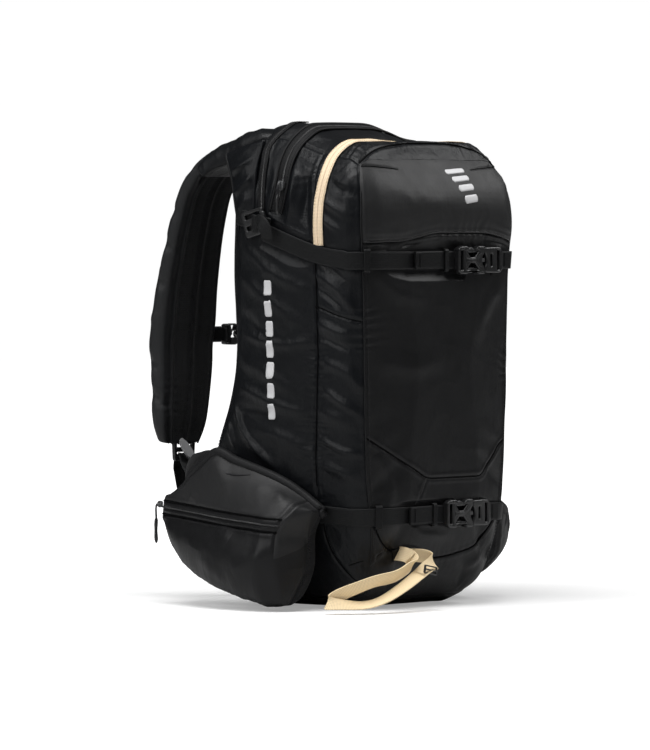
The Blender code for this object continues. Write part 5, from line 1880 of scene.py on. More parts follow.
def wing_binding(part, tag, side):
    """The bound upper edge of the wing."""
    edge = resample(part.column(HIP_FIRST[3], 2, -2), .004)
    count = len(edge)
    out, across = frames(edge, np.tile([0, 0, 1.0], (count, 1)))
    angle = circle(16)
    fade = np.minimum(1, np.minimum(np.arange(count), np.arange(count)[::-1]) / 2 + .3)
    rings = [edge[k] - out[k] * .0026
             + fade[k] * (np.outer(np.cos(angle), out[k]) * .0056
                          + np.outer(squared(np.sin(angle), .7), across[k]) * .0062)
             for k in range(count)]
    uv = np.stack([np.repeat(arc(edge), 16), np.tile(np.sin(angle) * .006, count)], 1)
    ob = outward(make(f"{tag}_wing_binding", *sweep(rings), BINDING, uv=uv))
    claim(ob, tag + "_wing", "webbing")
    outer = np.array([-side, 0, 0.0])
    stitches(f"{tag}_binding_stitch_0", edge + outer * .0058 + np.array([0, 0, -.0062]),
             np.tile(outer, (count, 1)), tag + "_wing", **LONG_STITCH)


def pocket_zip(part, tag, side):
    """Zip of the hip pocket: cords and stitches on both edges, chain, slider and pull."""
    body = tag + "_wing"
    for k, group in enumerate((6, 7)):
        col = HIP_FIRST[group]
        path, out = even(part.column(col, NOSE), part.column_out(col, NOSE), .003)
        # the band's edge cords are near-black: painted shade along its edges
        tube(f"{tag}_pocket_piping_{k}", path + out * .0001, .0009, SEAM_DARK, body)
        away = frames(path, out)[1] * .0042 * (1 if k == 0 else -1) * side
        stitches(f"{tag}_pocket_stitch_{k}", path + away + out * .0003, out, body,
                 radius=.00032)
    col = HIP_FIRST[6] + 1
    middle = (part.column(col, NOSE) + part.column(col + 1, NOSE)) / 2
    path, out = even(middle, part.column_out(col, NOSE), .002)
    tube(f"{tag}_pocket_zip_chain", path + out * .0004, .0017, COIL_DARK, body, seg=10,
         out=out, squash=.4)
    zip_slider(f"{tag}_pocket_slider", np.array([side * -.1770, .1930, .1215]),
               along=(-.27 * side, -.96, 0), out=(-.96 * side, .27, 0), drop=.046,
               body=tag + "_zip", node=tag + "_pocket_zip_pull")


for part, (tag, side) in zip(HIPS, SIDES):
    hip_fabric(part, tag, side)
    wing_binding(part, tag, side)
    pocket_zip(part, tag, side)
    if side > 0:               # a mouth-shaped seam on the left top panel
        tree = tree_of(part.now, part.faces.tolist())
        path, out = nearest(tree, catmull(POCKET_MOUTH, .002)[:, :3])
        tube("left_pocket_mouth_seam", path + out * .0003 * np.sign(out[:, :1] * -1),
             np.interp(np.linspace(0, 1, len(path)), [0, .5, 1], [.0006, .0014, .0006]),
             THREAD, "left_wing")


# ----------------------------------------------------- hip belt
def hip_belt(tag, side, x_end):
    path = catmull([(side * -.146, .199, .112), (side * -.136, .207, .110),
                    (side * -.120, .212, .109), (side * -.100, .215, .108),
                    (x_end, .215, .108)], .004)
    out = unit(np.cross(tangents(path), np.array([0, 0, 1.0])))
    out = np.where((out[:, 1] < 0)[:, None], -out, out)
    strap(f"{tag}_belt_webbing_strap", path, out, .0375, .0019, tag + "_wing", across=12,
          node=f"{tag}_belt_webbing")
    for k in (0, 1):
        x, y = side * -.138 + k * side * .004, .2075 + .0006 * k
        stitches(f"{tag}_belt_stitch_{k}", [(x, y, .094), (x, y, .126)],
                 [(side * -.4, .92, 0)] * 2, tag + "_wing", radius=.00042, lift=.0016,
                 **LONG_STITCH)


hip_belt("left", 1, -.034)
hip_belt("right", -1, .040)
clasp("hip_clasp", socket_x=-.0480, plug_x=.0360, socket_half=(.0200, .0250),
      plug_half=(.0290, .0238), y=.2225, z=.1080, depth=.0106,
      bodies=("hip_socket", "right_wing"), nodes=("hip_buckle_socket", "hip_buckle_plug"))


def lumbar_pad():
    ob = outward(piece_of(LUMBAR, np.ones(len(LUMBAR.faces), bool), "lumbar_cushion",
                          MESH_BACK, 1))
    emboss(ob, .0005, 30, 51)
    claim(ob, "pack", "mesh_foam", "lumbar_pad")
    tree = mesh_tree(ob)
    for k, x in enumerate((-.016, .016)):
        path = np.array([tree.ray_cast(Vector((x, .30, z)), Vector((0, -1, 0)))[0]
                         for z in np.linspace(.068, .188, 20)])
        stitches(f"lumbar_stitch_{k}", path, np.tile([0, 1.0, 0], (len(path), 1)),
                 radius=.00042, **LONG_STITCH)


lumbar_pad()


def holster_zip():
    """The zip that closes the trigger's holster on the outer face of the left strap."""
    tree = mesh_tree(bpy.data.objects["left_strap_outer"])
    line = catmull([(-.077, .356, 0), (-.0745, .32, 0), (-.075, .28, 0), (-.079, .242, 0),
                    (-.087, .218, 0)], .004)        # (x, z, unused)
    rows = []
    for x, z in line[:, :2]:
        place, out = tree.ray_cast(Vector((x, .40, z)), Vector((0, -1, 0)))[:2]
        if place is not None:
            rows.append(tuple(place) + tuple(out if out.y > 0 else -out))
    path, out = split(np.array(rows))
    relax(path, 6)
    relax(out, 6, directions=True)
    across = np.cross(tangents(path), out)
    for k, sign in enumerate((-1, 1)):
        strap(f"holster_zip_tape_{k}", path + across * sign * .0036 + out * .0007,
              unit(out + across * sign * .12), .0052, .0011, "left_strap", across=6)
        stitches(f"holster_zip_stitch_{k}", path + across * sign * .0052 + out * .0012, out,
                 "left_strap", radius=.0003, lift=.0004)
    tube("holster_zip_coil", path + out * .0010, .0013, COIL_DARK, "left_strap", seg=10,
         out=out, squash=.62)
    k = int(len(path) * .06)
    zip_slider("holster_slider", path[k] + out[k] * .0014, along=(0, 0, 1), out=out[k],
               drop=.024, body="left_strap")


holster_zip()


# ===================================================== seam cords and stitch rows on the bag
# cords in the seam shadow black are raised seams darkened as painted shade
def cord(label, rows, radius, lift, stitched=0.0, mat=SEAM_DARK):
    """A cord on the bag; `stitched` is the sideways offset of its stitch row."""
    path, out = on_bag(rows, lift)
    tube(label, path, radius, mat, "pack")
    if stitched:
        away = np.cross(tangents(path), out) * stitched
        stitches(label + "_stitch", path - out * lift + away, out, lift=.0003)


def upright(y, low, high, count):
    """A line up the left side of the parameter box."""
    return box_line(np.linspace((-HALF_X, y, low), (-HALF_X, y, high), count), .02)


YOKE_SEAM = [(-.1545, .082, .455), (-.1545, .082, .474), (-.153, .08, .505),
             (-.148, .078, .534), (-.138, .074, .556)]


def bag_cords():
    front_edge = upright(-HALF_Y, .055, .520, 24)
    for tag, side in SIDES:
        cord(f"front_edge_piping_{tag}", sided(front_edge, side), .0012, .0003, .0045 * side,
             BINDING)
    back_edge = upright(HALF_Y, .040, .540, 26)
    # (name, rows, radius, lift, stitch offset, material)
    cords = (("side_seam_cord", upright(SIDE_LINE, .150, .440, 16), .0008, .0001, .0040,
              SEAM_DARK),
             ("side_seam_low_cord", SIDE_LOW, .0008, .0001, .0040, SEAM_DARK),
             ("side_dart_cord", SIDE_DART, .0007, .0001, .0035, SEAM_DARK),
             ("pocket_dart_cord", POCKET_DART, .0007, .0001, 0, SEAM_DARK),
             ("back_edge_piping", back_edge, .0017, .0004, .0050, BINDING),
             ("yoke_seam_cord", YOKE_SEAM, .0008, .0001, .0035, SEAM_DARK))
    for tag, side in SIDES:
        for label, rows, radius, lift, stitched, mat in cords:
            cord(f"{label}_{tag}", sided(rows, side), radius, lift, stitched * side, mat)
    pocket = box_line([(x, -HALF_Y, pocket_z(x)) for x in np.linspace(-.146, .146, 24)], .01)
    path, out = on_bag(pocket, .0006)
    tube("goggle_pocket_piping", path, .0013, PIPING_SATIN, "pack", seg=10,
         slot="coated_fabric")
    stitches("goggle_pocket_stitch", path + np.array([0, 0, .0050]), out)
    cord("front_hex_seam", HEXAGON, .0009, .0001, .0038)
    cord("front_hex_seam_low", HEXAGON_LOW, .0009, .0002, mat=PIPING_SATIN)
    cord("front_bottom_seam", BOTTOM, .0010, .0002, .0040)
    cord("front_bottom_short_seam", BOTTOM_SHORT, .0007, .0001)
    cord("goggle_top_seam", POCKET_TOP, .0010, .0002, .0042)


bag_cords()


# ===================================================== zips
def zip_run(label, rows, half, tape, coil, coil_radius, gap, lift, slot="bag_fabric",
            thread=THREAD, node=None):
    """Two tapes with stitches, and the coil between them."""
    path, out = tight(rows, .0035, lift)
    across = np.cross(tangents(path), out)
    width = half - gap / 2
    for k, sign in enumerate((-1, 1)):
        tilt = unit(out + across * sign * .10)
        strap(f"{label}_tape_{k}", path + across * sign * (gap / 2 + width / 2), tilt, width,
              .0011, across=6, mat=tape, slot=slot, node=None if k else node)
        stitches(f"{label}_stitch_{k}", path + across * sign * (half - .0016), tilt,
                 radius=.0003, lift=.0006, mat=thread, slot=slot)
    tube(f"{label}_coil", path + out * .0001, coil_radius, coil, "pack", seg=10, out=out,
         squash=.62, slot=slot)


def bag_zips():
    zip_run("tool_zip", CREAM_PATH, half=.0074, tape=ZIP_CREAM, coil=COIL_CREAM,
            coil_radius=.0006, gap=.0005, lift=.0012, slot="cream_zip", thread=THREAD_CREAM,
            node="tool_zip_tape")
    zip_run("main_zip", MAIN_PATH, half=.0080, tape=ZIP_BLACK, coil=COIL_BLACK,
            coil_radius=.0019, gap=.0030, lift=.0012, node="main_zip_tape")
    for tag, side in SIDES:
        zip_run(f"burst_seam_{tag}", sided(BURST_PATH, side), half=.0050, tape=ZIP_BLACK,
                coil=COIL_BLACK, coil_radius=.0013, gap=.0020, lift=.0008)
    # raised storm edges beside the main zip
    path, out = tight(MAIN_PATH, .0035, .0016)
    across = np.cross(tangents(path), out)
    for label, offset in (("rear", -.0090), ("front", .0090)):
        tube(f"main_zip_edge_{label}", path + across * offset, .0016, BINDING, "pack")
    zip_slider("main_zip_slider", np.array([-.1563, .0124, .5088]), along=(0, -.12, 1),
               out=(-1, 0, .1), drop=.034, body="main_zip_pull", node="main_zip_pull",
               scale=1.15, fixed="pack")
    zip_slider("tool_zip_slider", np.array([.1535, -.0425, .4600]), along=(0, 0, 1),
               out=(1, -.1, 0), drop=.026, body="pack")
    # a folded patch of webbing over each lower end of the cream zip
    for tag, side in SIDES:
        rows = [(side * -.1500, -.043, .4270), (side * -.1500, -.043, .4370)]
        strap(f"tool_zip_end_{tag}", *tight(rows, .003, .0026), .0175, .0014)


bag_zips()


# ===================================================== compression straps
def lay_strap(label, run, node=None):
    path, out = run
    path, out = even(path + out * (.0018 + .0008), out, .003)
    strap(label, path, out, .0215, across=10, node=node)
    return path, out


UPPER_WEB = lay_strap("upper_webbing_left", UPPER_LEFT, "upper_strap")
LOWER_FRONT_WEB = lay_strap("lower_webbing_left", LOWER_LEFT, "lower_strap")
lay_strap("upper_webbing_right", UPPER_RIGHT)
lay_strap("lower_webbing_right", LOWER_RIGHT)
UPPER_Y = float(UPPER_WEB[0][-1][1])           # y of the webbing across the front
LOWER_Y = float(LOWER_FRONT_WEB[0][-1][1])

# sewn end patches on the right side
for tag, (path, out) in (("upper", UPPER_RIGHT), ("lower", LOWER_RIGHT)):
    patch = [path[0] + out[0] * .0046 + np.array([0, dy, 0]) for dy in (-.001, .011)]
    strap(f"{tag}_webbing_tack_right", patch, out[0], .0225, .0015, step=.002)


def bar_tack(label, at, out, across, half, body="pack", mat=THREAD):
    """A dense row of zigzag thread across the webbing."""
    at, out, across = np.array(at, float), unit(np.array(out, float)), unit(np.array(across, float))
    along = np.cross(out, across)
    count = 22
    path = [at + across * ((k / (count - 1)) * 2 - 1) * half
            + along * (.0011 if k % 2 else -.0011) + out * .0010 for k in range(count)]
    tube(label, path, .00042, mat, body, seg=6)


def keeper(label, at, out, along, width, half, body, height=.0034):
    """Elastic loop round the webbing."""
    at, out, along = np.array(at, float), unit(np.array(out, float)), unit(np.array(along, float))
    across = np.cross(out, along)
    # (share of the half width, height, lean of the direction)
    rows = ((-1.10, -.0008, -.9), (-1.10, height * .5, -.9), (-1.0, height, -.4),
            (-.5, height + .0003, 0), (0, height + .0004, 0), (.5, height + .0003, 0),
            (1.0, height, .4), (1.10, height * .5, .9), (1.10, -.0008, .9))
    strap(label, [at + across * share * half + out * high for share, high, _ in rows],
          [unit(out * (1 - abs(lean)) + across * lean) for _, _, lean in rows],
          width, .0012, body, across=6, curve=.0016)


for label, (path, out), x in (("upper_keeper", UPPER_WEB, -.1330),
                              ("lower_keeper", LOWER_FRONT_WEB, -.1120)):
    # the webbing's point nearest x, kept to the front by a penalty on y
    k = int(np.argmin(np.abs(path[:, 0] - x) + np.maximum(0, path[:, 1] + .085) * 50))
    keeper(label, path[k] - out[k] * .0012, out[k], tangents(path)[k], .0085, .0125, "pack")


def buckle_tail(prefix, y, z, start, end):
    """The free webbing that doubles back from a buckle."""
    xs = np.linspace(end, start, 34)
    wobble = .0009 * np.sin((xs - start) * 60) * smooth(.0, .03, end - xs)
    path = np.stack([xs, y - .0022 - np.abs(wobble) - .0004,
                     z + .0006 * np.sin((xs - start) * 35)], 1)
    strap(f"{prefix}_tail", path, (0, -1, 0), .0212, body=prefix, across=10)
    strap(f"{prefix}_tail_fold",
          [(start + .0005, y - .0030, z), (start - .0012, y - .0040, z),
           (start + .0006, y - .0050, z), (start + .010, y - .0048, z)],
          [(0, -1, 0), (-1, 0, 0), (0, 1, 0), (0, 1, 0)], .0212, body=prefix, curve=.0012)
    bar_tack(f"{prefix}_tail_tack", (start + .0075, y - .0052, z), (0, -1, 0), (0, 0, 1),
             .0088, prefix)


buckle_tail("upper_buckle", UPPER_Y, UPPER_Z, -.0560, .0200)
buckle_tail("lower_buckle", LOWER_Y, LOWER_Z, -.0650, .0000)
for prefix, y, z, x in (("upper", UPPER_Y, UPPER_Z, .0011), ("lower", LOWER_Y, LOWER_Z, -.0200)):
    keeper(f"{prefix}_tail_keeper", (x, y, z), (0, -1, 0), (1, 0, 0), .0070, .0122,
           prefix + "_buckle", height=.0046)

# buckle outlines in millimetres, for a socket 48 mm and a plug 35 mm long
SOCKET_TOP = [(-24, 13.5), (-20, 16.6), (-8, 17), (-2, 13), (8, 13), (13, 17), (24, 17),
              (24, 9.5), (19.8, 4.2)]
SOCKET_WINDOW = [(-9.5, 11.4), (13.5, 11.4), (6, 3.6), (-2, 3.6)]
SOCKET_CROSS = [(-10.5, 2.8), (-3.2, 1.6), (6.6, 1.8), (16, 8.6), (17.8, 6.8), (10.5, 0),
                (17.8, -6.8), (16, -8.6), (6.6, -1.8), (-3.2, -1.6), (-10.5, -2.8)]
PLUG = [(-16.6, 15.2), (4, 15.8), (13, 15.2), (17.2, 10.5), (17.2, -10.5), (13, -15.2),
        (4, -15.8), (-16.6, -15.2), (-16.6, -9), (-13.4, -4), (-13.4, 4), (-16.6, 9)]
PRONG = [(27, 13.2), (8, 12.6), (2, 15.6), (-3, 14.6), (-6, 10.6), (-3.5, 9), (27, 9.6)]
TONGUE = [(27, 2.6), (-4, 2), (-6, 0), (-4, -2), (27, -2.6)]


def side_release(prefix, x_start, x_end, web_y, z):
    """Side-release buckle with an open female half and a D-shaped male half."""
    deep = .0092
    x_joint = x_start + .58 * (x_end - x_start)
    y = web_y - .0008 - .0006 - .0095 / 2
    stretch = (x_joint - x_start) / .0480
    x = (x_start + x_joint) / 2

    def from_mm(points, gain=stretch):
        return [(a * gain / 1000, b / 1000) for a, b in points]

    flat, raised = facing_y(x, y, z), facing_y(x, y - deep / 2 - .0001, z)
    window = from_mm(SOCKET_WINDOW)
    parts = [plate(prefix + "_socket_face",
                   [(from_mm(SOCKET_TOP + flip_y(SOCKET_TOP)[::-1]), .0018), (window, .0012),
                    (flip_y(window), .0012),
                    (from_mm(rect(-20.2, -14.8, 11.8, -11.8)), .0008)],
                   deep, .0017, flat, res=4),
             plate(prefix + "_socket_cross", [(from_mm(SOCKET_CROSS), .0010)], .0014, .0006,
                   raised),
             plate(prefix + "_socket_bar",
                   [(from_mm(rect(-13.6, -11.6, 12.4, -12.4)), .0008)], .0016, .0006, raised)]
    grips = product((-1, 1), (-18, -16, -14, -12, 15, 17, 19, 21))
    for i, (sign, place) in enumerate(grips):
        at = x + place * stretch / 1000
        parts.append(tube(f"{prefix}_grip_{i}",
                          [(at, y - deep / 2 - .0001, z + sign * .0143),
                           (at, y + deep / 2 * .2, z + sign * .0171)], .00055, PLASTIC, seg=6))
    merge(prefix + "_socket_moulding", parts, prefix, node=prefix + "_socket")

    stretch_plug = (x_end - x_joint) / .0350
    outlines = [(from_mm(points, stretch_plug), rounding) for points, rounding in (
        (PLUG, .0026), (rect(6.2, 11.0, 11.6, -11.6), .0008),
        (rect(-6.2, -2.4, 7.4, -7.4), .0016))]
    parts = [plate(prefix + "_plug_face", outlines, .0086, .0018,
                   facing_y((x_joint + x_end) / 2, y, z), res=4)]
    for sign in (-1, 1):
        arm = [(a, b * sign) for a, b in from_mm(PRONG)]
        parts.append(plate(f"{prefix}_prong_{sign}", [(arm, .0008)], .0042, .0009, flat,
                           PLASTIC_MID))
    parts.append(plate(prefix + "_tongue", [(from_mm(TONGUE), .0008)], .0040, .0009, flat,
                       PLASTIC_MID))
    merge(prefix + "_plug_moulding", parts, "pack", node=prefix + "_plug")


side_release("upper_buckle", .0170, .1000, UPPER_Y, UPPER_Z)
side_release("lower_buckle", -.0030, .0770, LOWER_Y, LOWER_Z)
# webbing sewn round the male halves' bars: (x, y) from the bar, directions
PLUG_WEB = [(.030, -.0010), (.014, -.0022), (.0040, -.0052), (.0002, -.0060),
            (-.0030, -.0038), (-.0015, -.0022), (.006, -.0016)]
PLUG_WEB_OUT = [(0, -1, 0), (-.1, -1, 0), (-.3, -1, 0), (-.2, -1, 0), (-1, -.2, 0),
                (-.2, 1, 0), (0, 1, 0)]
for prefix, y, z, x in (("upper", UPPER_Y, UPPER_Z, .0925), ("lower", LOWER_Y, LOWER_Z, .0695)):
    strap(f"{prefix}_plug_webbing", [(x + dx, y + dy, z) for dx, dy in PLUG_WEB], PLUG_WEB_OUT,
          .0212, curve=.0015)
    bar_tack(f"{prefix}_plug_tack", (x + .019, y - .0022, z), (0, -1, 0), (0, 0, 1), .0088)


# ===================================================== adjuster on the left side
def adjuster():
    turn = (Matrix.Translation((-.1618, .0505, .4640))
            @ Matrix.Rotation(math.radians(-14), 4, "X")
            @ Matrix(((0, 0, -1, 0), (0, 1, 0, 0), (1, 0, 0, 0), (0, 0, 0, 1))))
    outline = [(.016, -.018), (.016, .018), (-.016, .0155), (-.016, -.0155)]
    slots = [([(high, -.012), (high, .012), (low, .012), (low, -.012)], .001)
             for high, low in ((.0118, .0062), (-.0022, -.0078))]
    lip = [(-.0100, -.0200), (.0100, -.0200), (.0120, -.0130), (-.0120, -.0130)]
    merge("upper_adjuster_moulding",
          [plate("adjuster_a", [(outline, .0035)] + slots, .0046, .0012, turn),
           plate("adjuster_b", [(lip, .003)], .0040, .0012,
                 Matrix.Translation((-.0012, 0, 0)) @ turn)],
          "pack", node="upper_strap_adjuster")
    strap("adjuster_webbing",
          [(-.156, .0305, .4595), (-.16, .0375, .4612), (-.165, .0435, .4628),
           (-.1648, .0505, .4645), (-.161, .056, .4655), (-.1595, .064, .468),
           (-.1585, .074, .47), (-.156, .084, .4722)],
          [(-1, -.1, 0), (-1, -.3, 0), (-1, 0, 0), (-1, .4, 0), (-1, .3, 0), (-1, 0, 0),
           (-1, .1, 0), (-1, .3, 0)], .0205, curve=.002)
    strap("adjuster_tail",
          [(-.164, .0425, .464), (-.1688, .037, .466), (-.17, .03, .4625),
           (-.169, .025, .454), (-.1672, .0245, .4445)], (-1, -.2, .1), .0165, curve=.002)
    bar_tack("adjuster_tack", (-.1596, .0690, .4690), (-1, 0, 0), (0, .25, -.97), .0085)


adjuster()


# ===================================================== haul handle
def haul_handle():
    path = catmull([(-.034, .1135, .545), (-.0345, .122, .562), (-.024, .1285, .5755),
                    (0, .1305, .5795), (.024, .1285, .5755), (.0345, .122, .562),
                    (.034, .1135, .545)], .0025)
    across = unit(np.tile([0, 1.0, .5], (len(path), 1)))
    out = unit(np.cross(across, tangents(path)))
    strap("haul_handle_webbing", path, out, .0180, .0020, "haul_handle", node="haul_handle")
    middle = slice(int(len(path) * .30), int(len(path) * .70))
    tube("haul_handle_grip", path[middle], .0034, BINDING, "haul_handle", seg=12,
         out=out[middle], squash=.8)


haul_handle()

# ===================================================== ski loop and its slider
# (x, y, z, upright share of the webbing's width)
LOOP = [(-.072, -.096, .068, .90), (-.0725, -.109, .0675, .90), (-.0715, -.119, .0645, .90),
        (-.072, -.1245, .0575, .90), (-.084, -.124, .05, .90), (-.105, -.123, .0425, .88),
        (-.134, -.118, .038, .85), (-.155, -.106, .03, .85), (-.1695, -.089, .0208, .85),
        (-.1785, -.0835, .0152, .84), (-.1812, -.089, .0132, .78), (-.169, -.102, .0112, .60),
        (-.148, -.116, .0105, .42), (-.127, -.127, .0168, .36), (-.099, -.133, .0305, .36),
        (-.073, -.134, .0438, .38), (-.056, -.133, .052, .48), (-.0415, -.13, .056, .80),
        (-.036, -.123, .0605, .92), (-.041, -.116, .064, .92), (-.047, -.108, .065, .90),
        (-.048, -.098, .065, .90)]


def ski_loop():
    rows = catmull(LOOP, .0025)
    path, tang = rows[:, :3], tangents(rows)
    across = []
    for k in range(len(rows)):
        flat = np.cross([0, 0, 1.0], tang[k])
        flat = unit(flat if np.linalg.norm(flat) > .05 else np.array([1.0, 0, 0]))
        share = min(.93, max(.05, rows[k, 3]))
        line = flat * math.sqrt(1 - share ** 2) + np.array([0, 0, 1.0]) * share
        across.append(unit(line - tang[k] * (line @ tang[k])))
    across = relax(np.array(across), 6, directions=True)
    out = np.cross(across, tang)
    strap("ski_loop_webbing", path, out, .0180, .0015, "ski_loop", across=10, crown=.0005,
          mat=WEB_CREAM, slot="cream_webbing", node="ski_loop")
    for k, i in enumerate((10, int(len(rows) * .80))):
        bar_tack(f"ski_loop_tack_{k}", path[i] + out[i] * -.0006,
                 out[i] * (1 if out[i][1] < 0 else -1), across[i], .0075, "ski_loop",
                 THREAD_CREAM)
    turn = (Matrix.Translation((-.0575, -.1395, .0490))
            @ Matrix.Rotation(math.radians(101), 4, "Y")
            @ Matrix.Rotation(math.radians(90), 4, "X"))
    slider = plate("ski_loop_triglide", [(rect(-.0052, .0052, .0115, -.0115), .0018),
                                         (rect(-.0036, -.0009, .0093, -.0093), .0006),
                                         (rect(.0009, .0036, .0093, -.0093), .0006)],
                   .0027, .0008, turn)
    claim(slider, "ski_loop", "grey_plastic", "ski_loop_slider")
    # where the loop is sewn to the pack
    anchor = [(-.079, -.1, .064), (-.068, -.1, .068), (-.055, -.1, .07), (-.04, -.1, .068),
              (-.026, -.1, .0635)]
    strap("ski_loop_anchor", *on_bag(anchor, .0010), .0150)


ski_loop()


# ===================================================== plain reflective marks
def patch_on(label, centre, across, up, width, height, radius, lift=.0006):
    """A thin rounded patch laid on the bag round a place."""
    across, up = unit(np.array(across, float)), unit(np.array(up, float))
    cols, rows = max(4, int(width / .0015)), max(4, int(height / .0015))
    verts, rim = [], []
    for i, j in product(range(cols + 1), range(rows + 1)):
        u, v = (i / cols - .5) * 2, (j / rows - .5) * 2
        corner = max(0, (abs(v) - (1 - 2 * radius / height)) / (2 * radius / height))
        u *= 1 - .5 * corner ** 2 * (2 * radius / width)
        verts.append(np.array(centre, float) + across * u * width / 2 + up * v * height / 2)
        rim.append(0 if i in (0, cols) or j in (0, rows) else 1)
    path = nearest(SKIN_TREE, verts)[0]
    out = nearest(BAG_TREE, path)[1]
    top = path + out * (lift * (.25 + .75 * np.array(rim)))[:, None]
    total = len(top)

    def index(i, j):
        return i * (rows + 1) + j

    faces = []
    for i, j in product(range(cols), range(rows)):
        a, b, c, d = index(i, j), index(i + 1, j), index(i + 1, j + 1), index(i, j + 1)
        faces += [(a, b, c, d), (total + a, total + d, total + c, total + b)]
    for a, b in rim_loop(index, cols, rows):
        faces.append((a, total + a, total + b, b))
    verts = np.vstack([top, path - out * .0012])
    return claim(outward(make(label, verts, faces, REFLECTIVE)), "pack")


merge("front_reflective_bars",
      [patch_on(f"front_mark_{k}", (.041 + (k - 1.5) * .0034, -.1105, .5370 - k * .0150),
                across=(1, 0, .12), up=(0, .15, 1), width=.0370 - k * .0040, height=.0092,
                radius=.0042) for k in range(4)], "pack", "grey_plastic")
merge("side_reflective_bars",
      [patch_on(f"side_mark_{k}", (-.150, .0355 - .0005 * k, .3860 - k * .0248),
                across=(0, 1, 0), up=(0, 0, 1), width=.0118, height=.0196, radius=.0034)
       for k in range(7)], "pack", "grey_plastic")


# ===================================================== folded airbag inside
def folded_airbag():
    """A pleated roll bent in an arch under the bag's top."""
    left = [(-.112, .029, .3), (-.112, .029, .4), (-.098, .029, .47), (-.055, .029, .51),
            (0, .029, .52)]
    path = catmull(over_top(left), .004)
    inward = unit(np.cross(tangents(path), [0, 1.0, 0]))
    full = (1 - .25 * np.abs(np.linspace(-1, 1, len(path))) ** 6) * .93
    angle = circle(40)
    rings = []
    for k in range(len(path)):
        pleat = 1 + .055 * np.sin(angle * 9 + k * .05) + .03 * math.sin(k * .8)
        wide = .0215 * full[k] * squared(np.cos(angle), .7) * pleat
        deep = .0255 * squared(np.sin(angle), .7) * pleat * .95
        rings.append(path[k] + np.outer(wide, inward[k]) + np.outer(deep, [0, 1.0, 0]))
    ob = outward(make("folded_airbag", *sweep(rings), AIRBAG_NYLON))
    claim(ob, "pack", "airbag_nylon", "airbag")


folded_airbag()

# ===================================================== CAD nodes that keep their shape
KEPT = {
    "frame_sheet": plastic_sheet("hdpe_sheet_grey", (.62, .63, .63), rough=.42),
    "frame_stay": metal("aluminium_rod", (.72, .73, .75), rough=.32),
    "fan_housing": moulded("fan_black", (.020, .020, .022), rough=.42, spec=.45),
    "fan_cover": moulded("fan_cover_black", (.030, .030, .032), rough=.48, spec=.45),
    "motor": metal("motor_can", (.62, .63, .65), rough=.28),
    "impeller": moulded("impeller_grey", (.20, .20, .21), rough=.40),
    "valve_body": moulded("valve_black", (.026, .026, .028), rough=.40),
    "valve_flap": moulded("valve_rubber_red", (.55, .035, .025), rough=.55, spec=.35),
    "release_lever": metal("lever_aluminium", (.70, .71, .73), rough=.35),
    "supercapacitors": moulded("capacitor_sleeve", (.018, .030, .060), rough=.35),
    "control_board": circuit_board("circuit_board_green"),
    "power_button": moulded("button_red", (.55, .03, .02), rough=.40),
    "battery_box": moulded("battery_box_black", (.024, .024, .026), rough=.45, spec=.45),
    "battery_door": moulded("battery_door_black", (.032, .032, .034), rough=.50, spec=.45),
    "battery_1": moulded("cell_wrap_a", (.55, .42, .10), rough=.30),
    "battery_2": moulded("cell_wrap_b", (.55, .42, .10), rough=.30),
    "trigger_cable": moulded("cable_sheath", (.020, .020, .022), rough=.50, spec=.4),
}
for node, mat in KEPT.items():
    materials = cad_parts[node].data.materials
    materials.clear()
    materials.append(mat)


# ===================================================== floor, light, camera
def floor_material():
    """Pale floor; the camera sees it glow, more strongly away from the pack."""
    glow, glow_gain = .30, .95
    glow_from, glow_reach = .45, .9
    mat = Material("studio_floor")
    rays = mat.node("LightPath")
    grain = mat.noise(scale=300, detail=2, rough=.5)
    mat.finish(mat.mix(grain, (.76, .76, .76), (.78, .78, .78)), rough=.9, spec=.1)
    mat.put(mat.shader.inputs["Emission Color"], (1, 1, 1))
    x, y, _ = mat.xyz()
    far = mat.math("SQRT", mat.math("ADD", mat.times(x, x), mat.times(y, y)))
    far = mat.math("MAXIMUM", mat.math("SUBTRACT", far, glow_from), .0)
    far = mat.math("MINIMUM", far, glow_reach)
    mat.put(mat.shader.inputs["Emission Strength"],
            mat.times(rays.outputs["Is Camera Ray"], mat.linear(far, glow_gain, glow)))
    return mat.material


FLOOR_HALF, FLOOR_Z = 9, -.0005
make("studio_floor", [(*corner, FLOOR_Z) for corner in
                               rect(-FLOOR_HALF, FLOOR_HALF, -FLOOR_HALF, FLOOR_HALF)],
              [(0, 1, 2, 3)], floor_material())


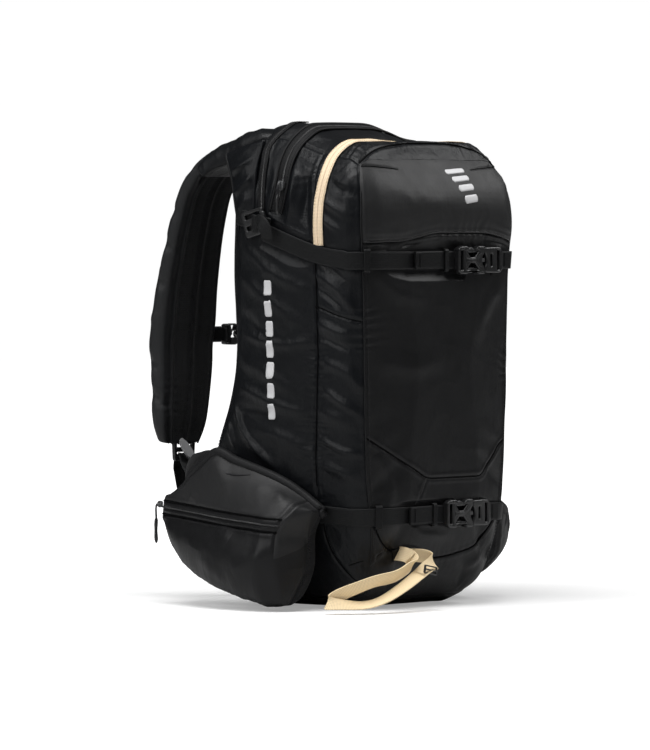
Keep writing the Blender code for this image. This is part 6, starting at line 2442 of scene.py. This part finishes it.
def white_world():
    """White for the camera, faint for everything else."""
    seen, ambient = .96, .045
    world = bpy.data.worlds.new("studio")
    bpy.context.scene.world = world
    world.use_nodes = True
    tree = world.node_tree
    background = tree.nodes["Background"]
    rays = tree.nodes.new("ShaderNodeLightPath")
    strength = tree.nodes.new("ShaderNodeMath")
    strength.operation = "MULTIPLY_ADD"
    tree.links.new(rays.outputs["Is Camera Ray"], strength.inputs[0])
    strength.inputs[1].default_value = seen
    strength.inputs[2].default_value = ambient
    tree.links.new(strength.outputs[0], background.inputs["Strength"])
    background.inputs["Color"].default_value = (1, 1, 1, 1)


white_world()

# the view: directions from the pack to the camera, to the right and up
AZIMUTH, ELEVATION = math.radians(-48), math.radians(1.5)
TO_CAMERA = Vector((math.sin(AZIMUTH) * math.cos(ELEVATION),
                    -math.cos(AZIMUTH) * math.cos(ELEVATION), math.sin(ELEVATION)))
RIGHT = Vector((math.cos(AZIMUTH), math.sin(AZIMUTH), 0))
UP = TO_CAMERA.cross(RIGHT)
LIGHT_AIM = Vector((0, 0, .30))


def area_light(name, towards, right, rise, size, size_y, power):
    """A rectangular light placed from the aim by distances along the view and up."""
    light = bpy.data.lights.new(name, "AREA")
    light.energy = power
    light.size = size
    light.shape = "RECTANGLE"
    light.size_y = size_y
    ob = link(name, light)
    place = LIGHT_AIM + TO_CAMERA * towards + RIGHT * right + Vector((0, 0, rise))
    ob.location = place
    ob.rotation_euler = (LIGHT_AIM - place).to_track_quat("-Z", "Y").to_euler()


area_light("key_left", towards=1.2, right=-2.2, rise=1.5, size=1.4, size_y=1.8, power=30)
area_light("top_soft", towards=.8, right=-.3, rise=2.3, size=1.8, size_y=1.2, power=70)
area_light("right_rim", towards=-.7, right=1.7, rise=1.6, size=1.1, size_y=1.4, power=26)


def add_camera():
    distance = 7.0
    target = RIGHT * (-.06098) + UP * .27866
    camera = bpy.data.cameras.new("camera")
    camera.sensor_width = 36
    camera.lens = 39.36 * distance
    camera.clip_end = 60
    ob = link("camera", camera)
    ob.location = target + TO_CAMERA * distance
    ob.rotation_euler = (-TO_CAMERA).to_track_quat("-Z", "Y").to_euler()
    bpy.context.scene.camera = ob


add_camera()
bpy.context.scene.view_settings.view_transform = "Standard"

bpy.context.view_layer.update()
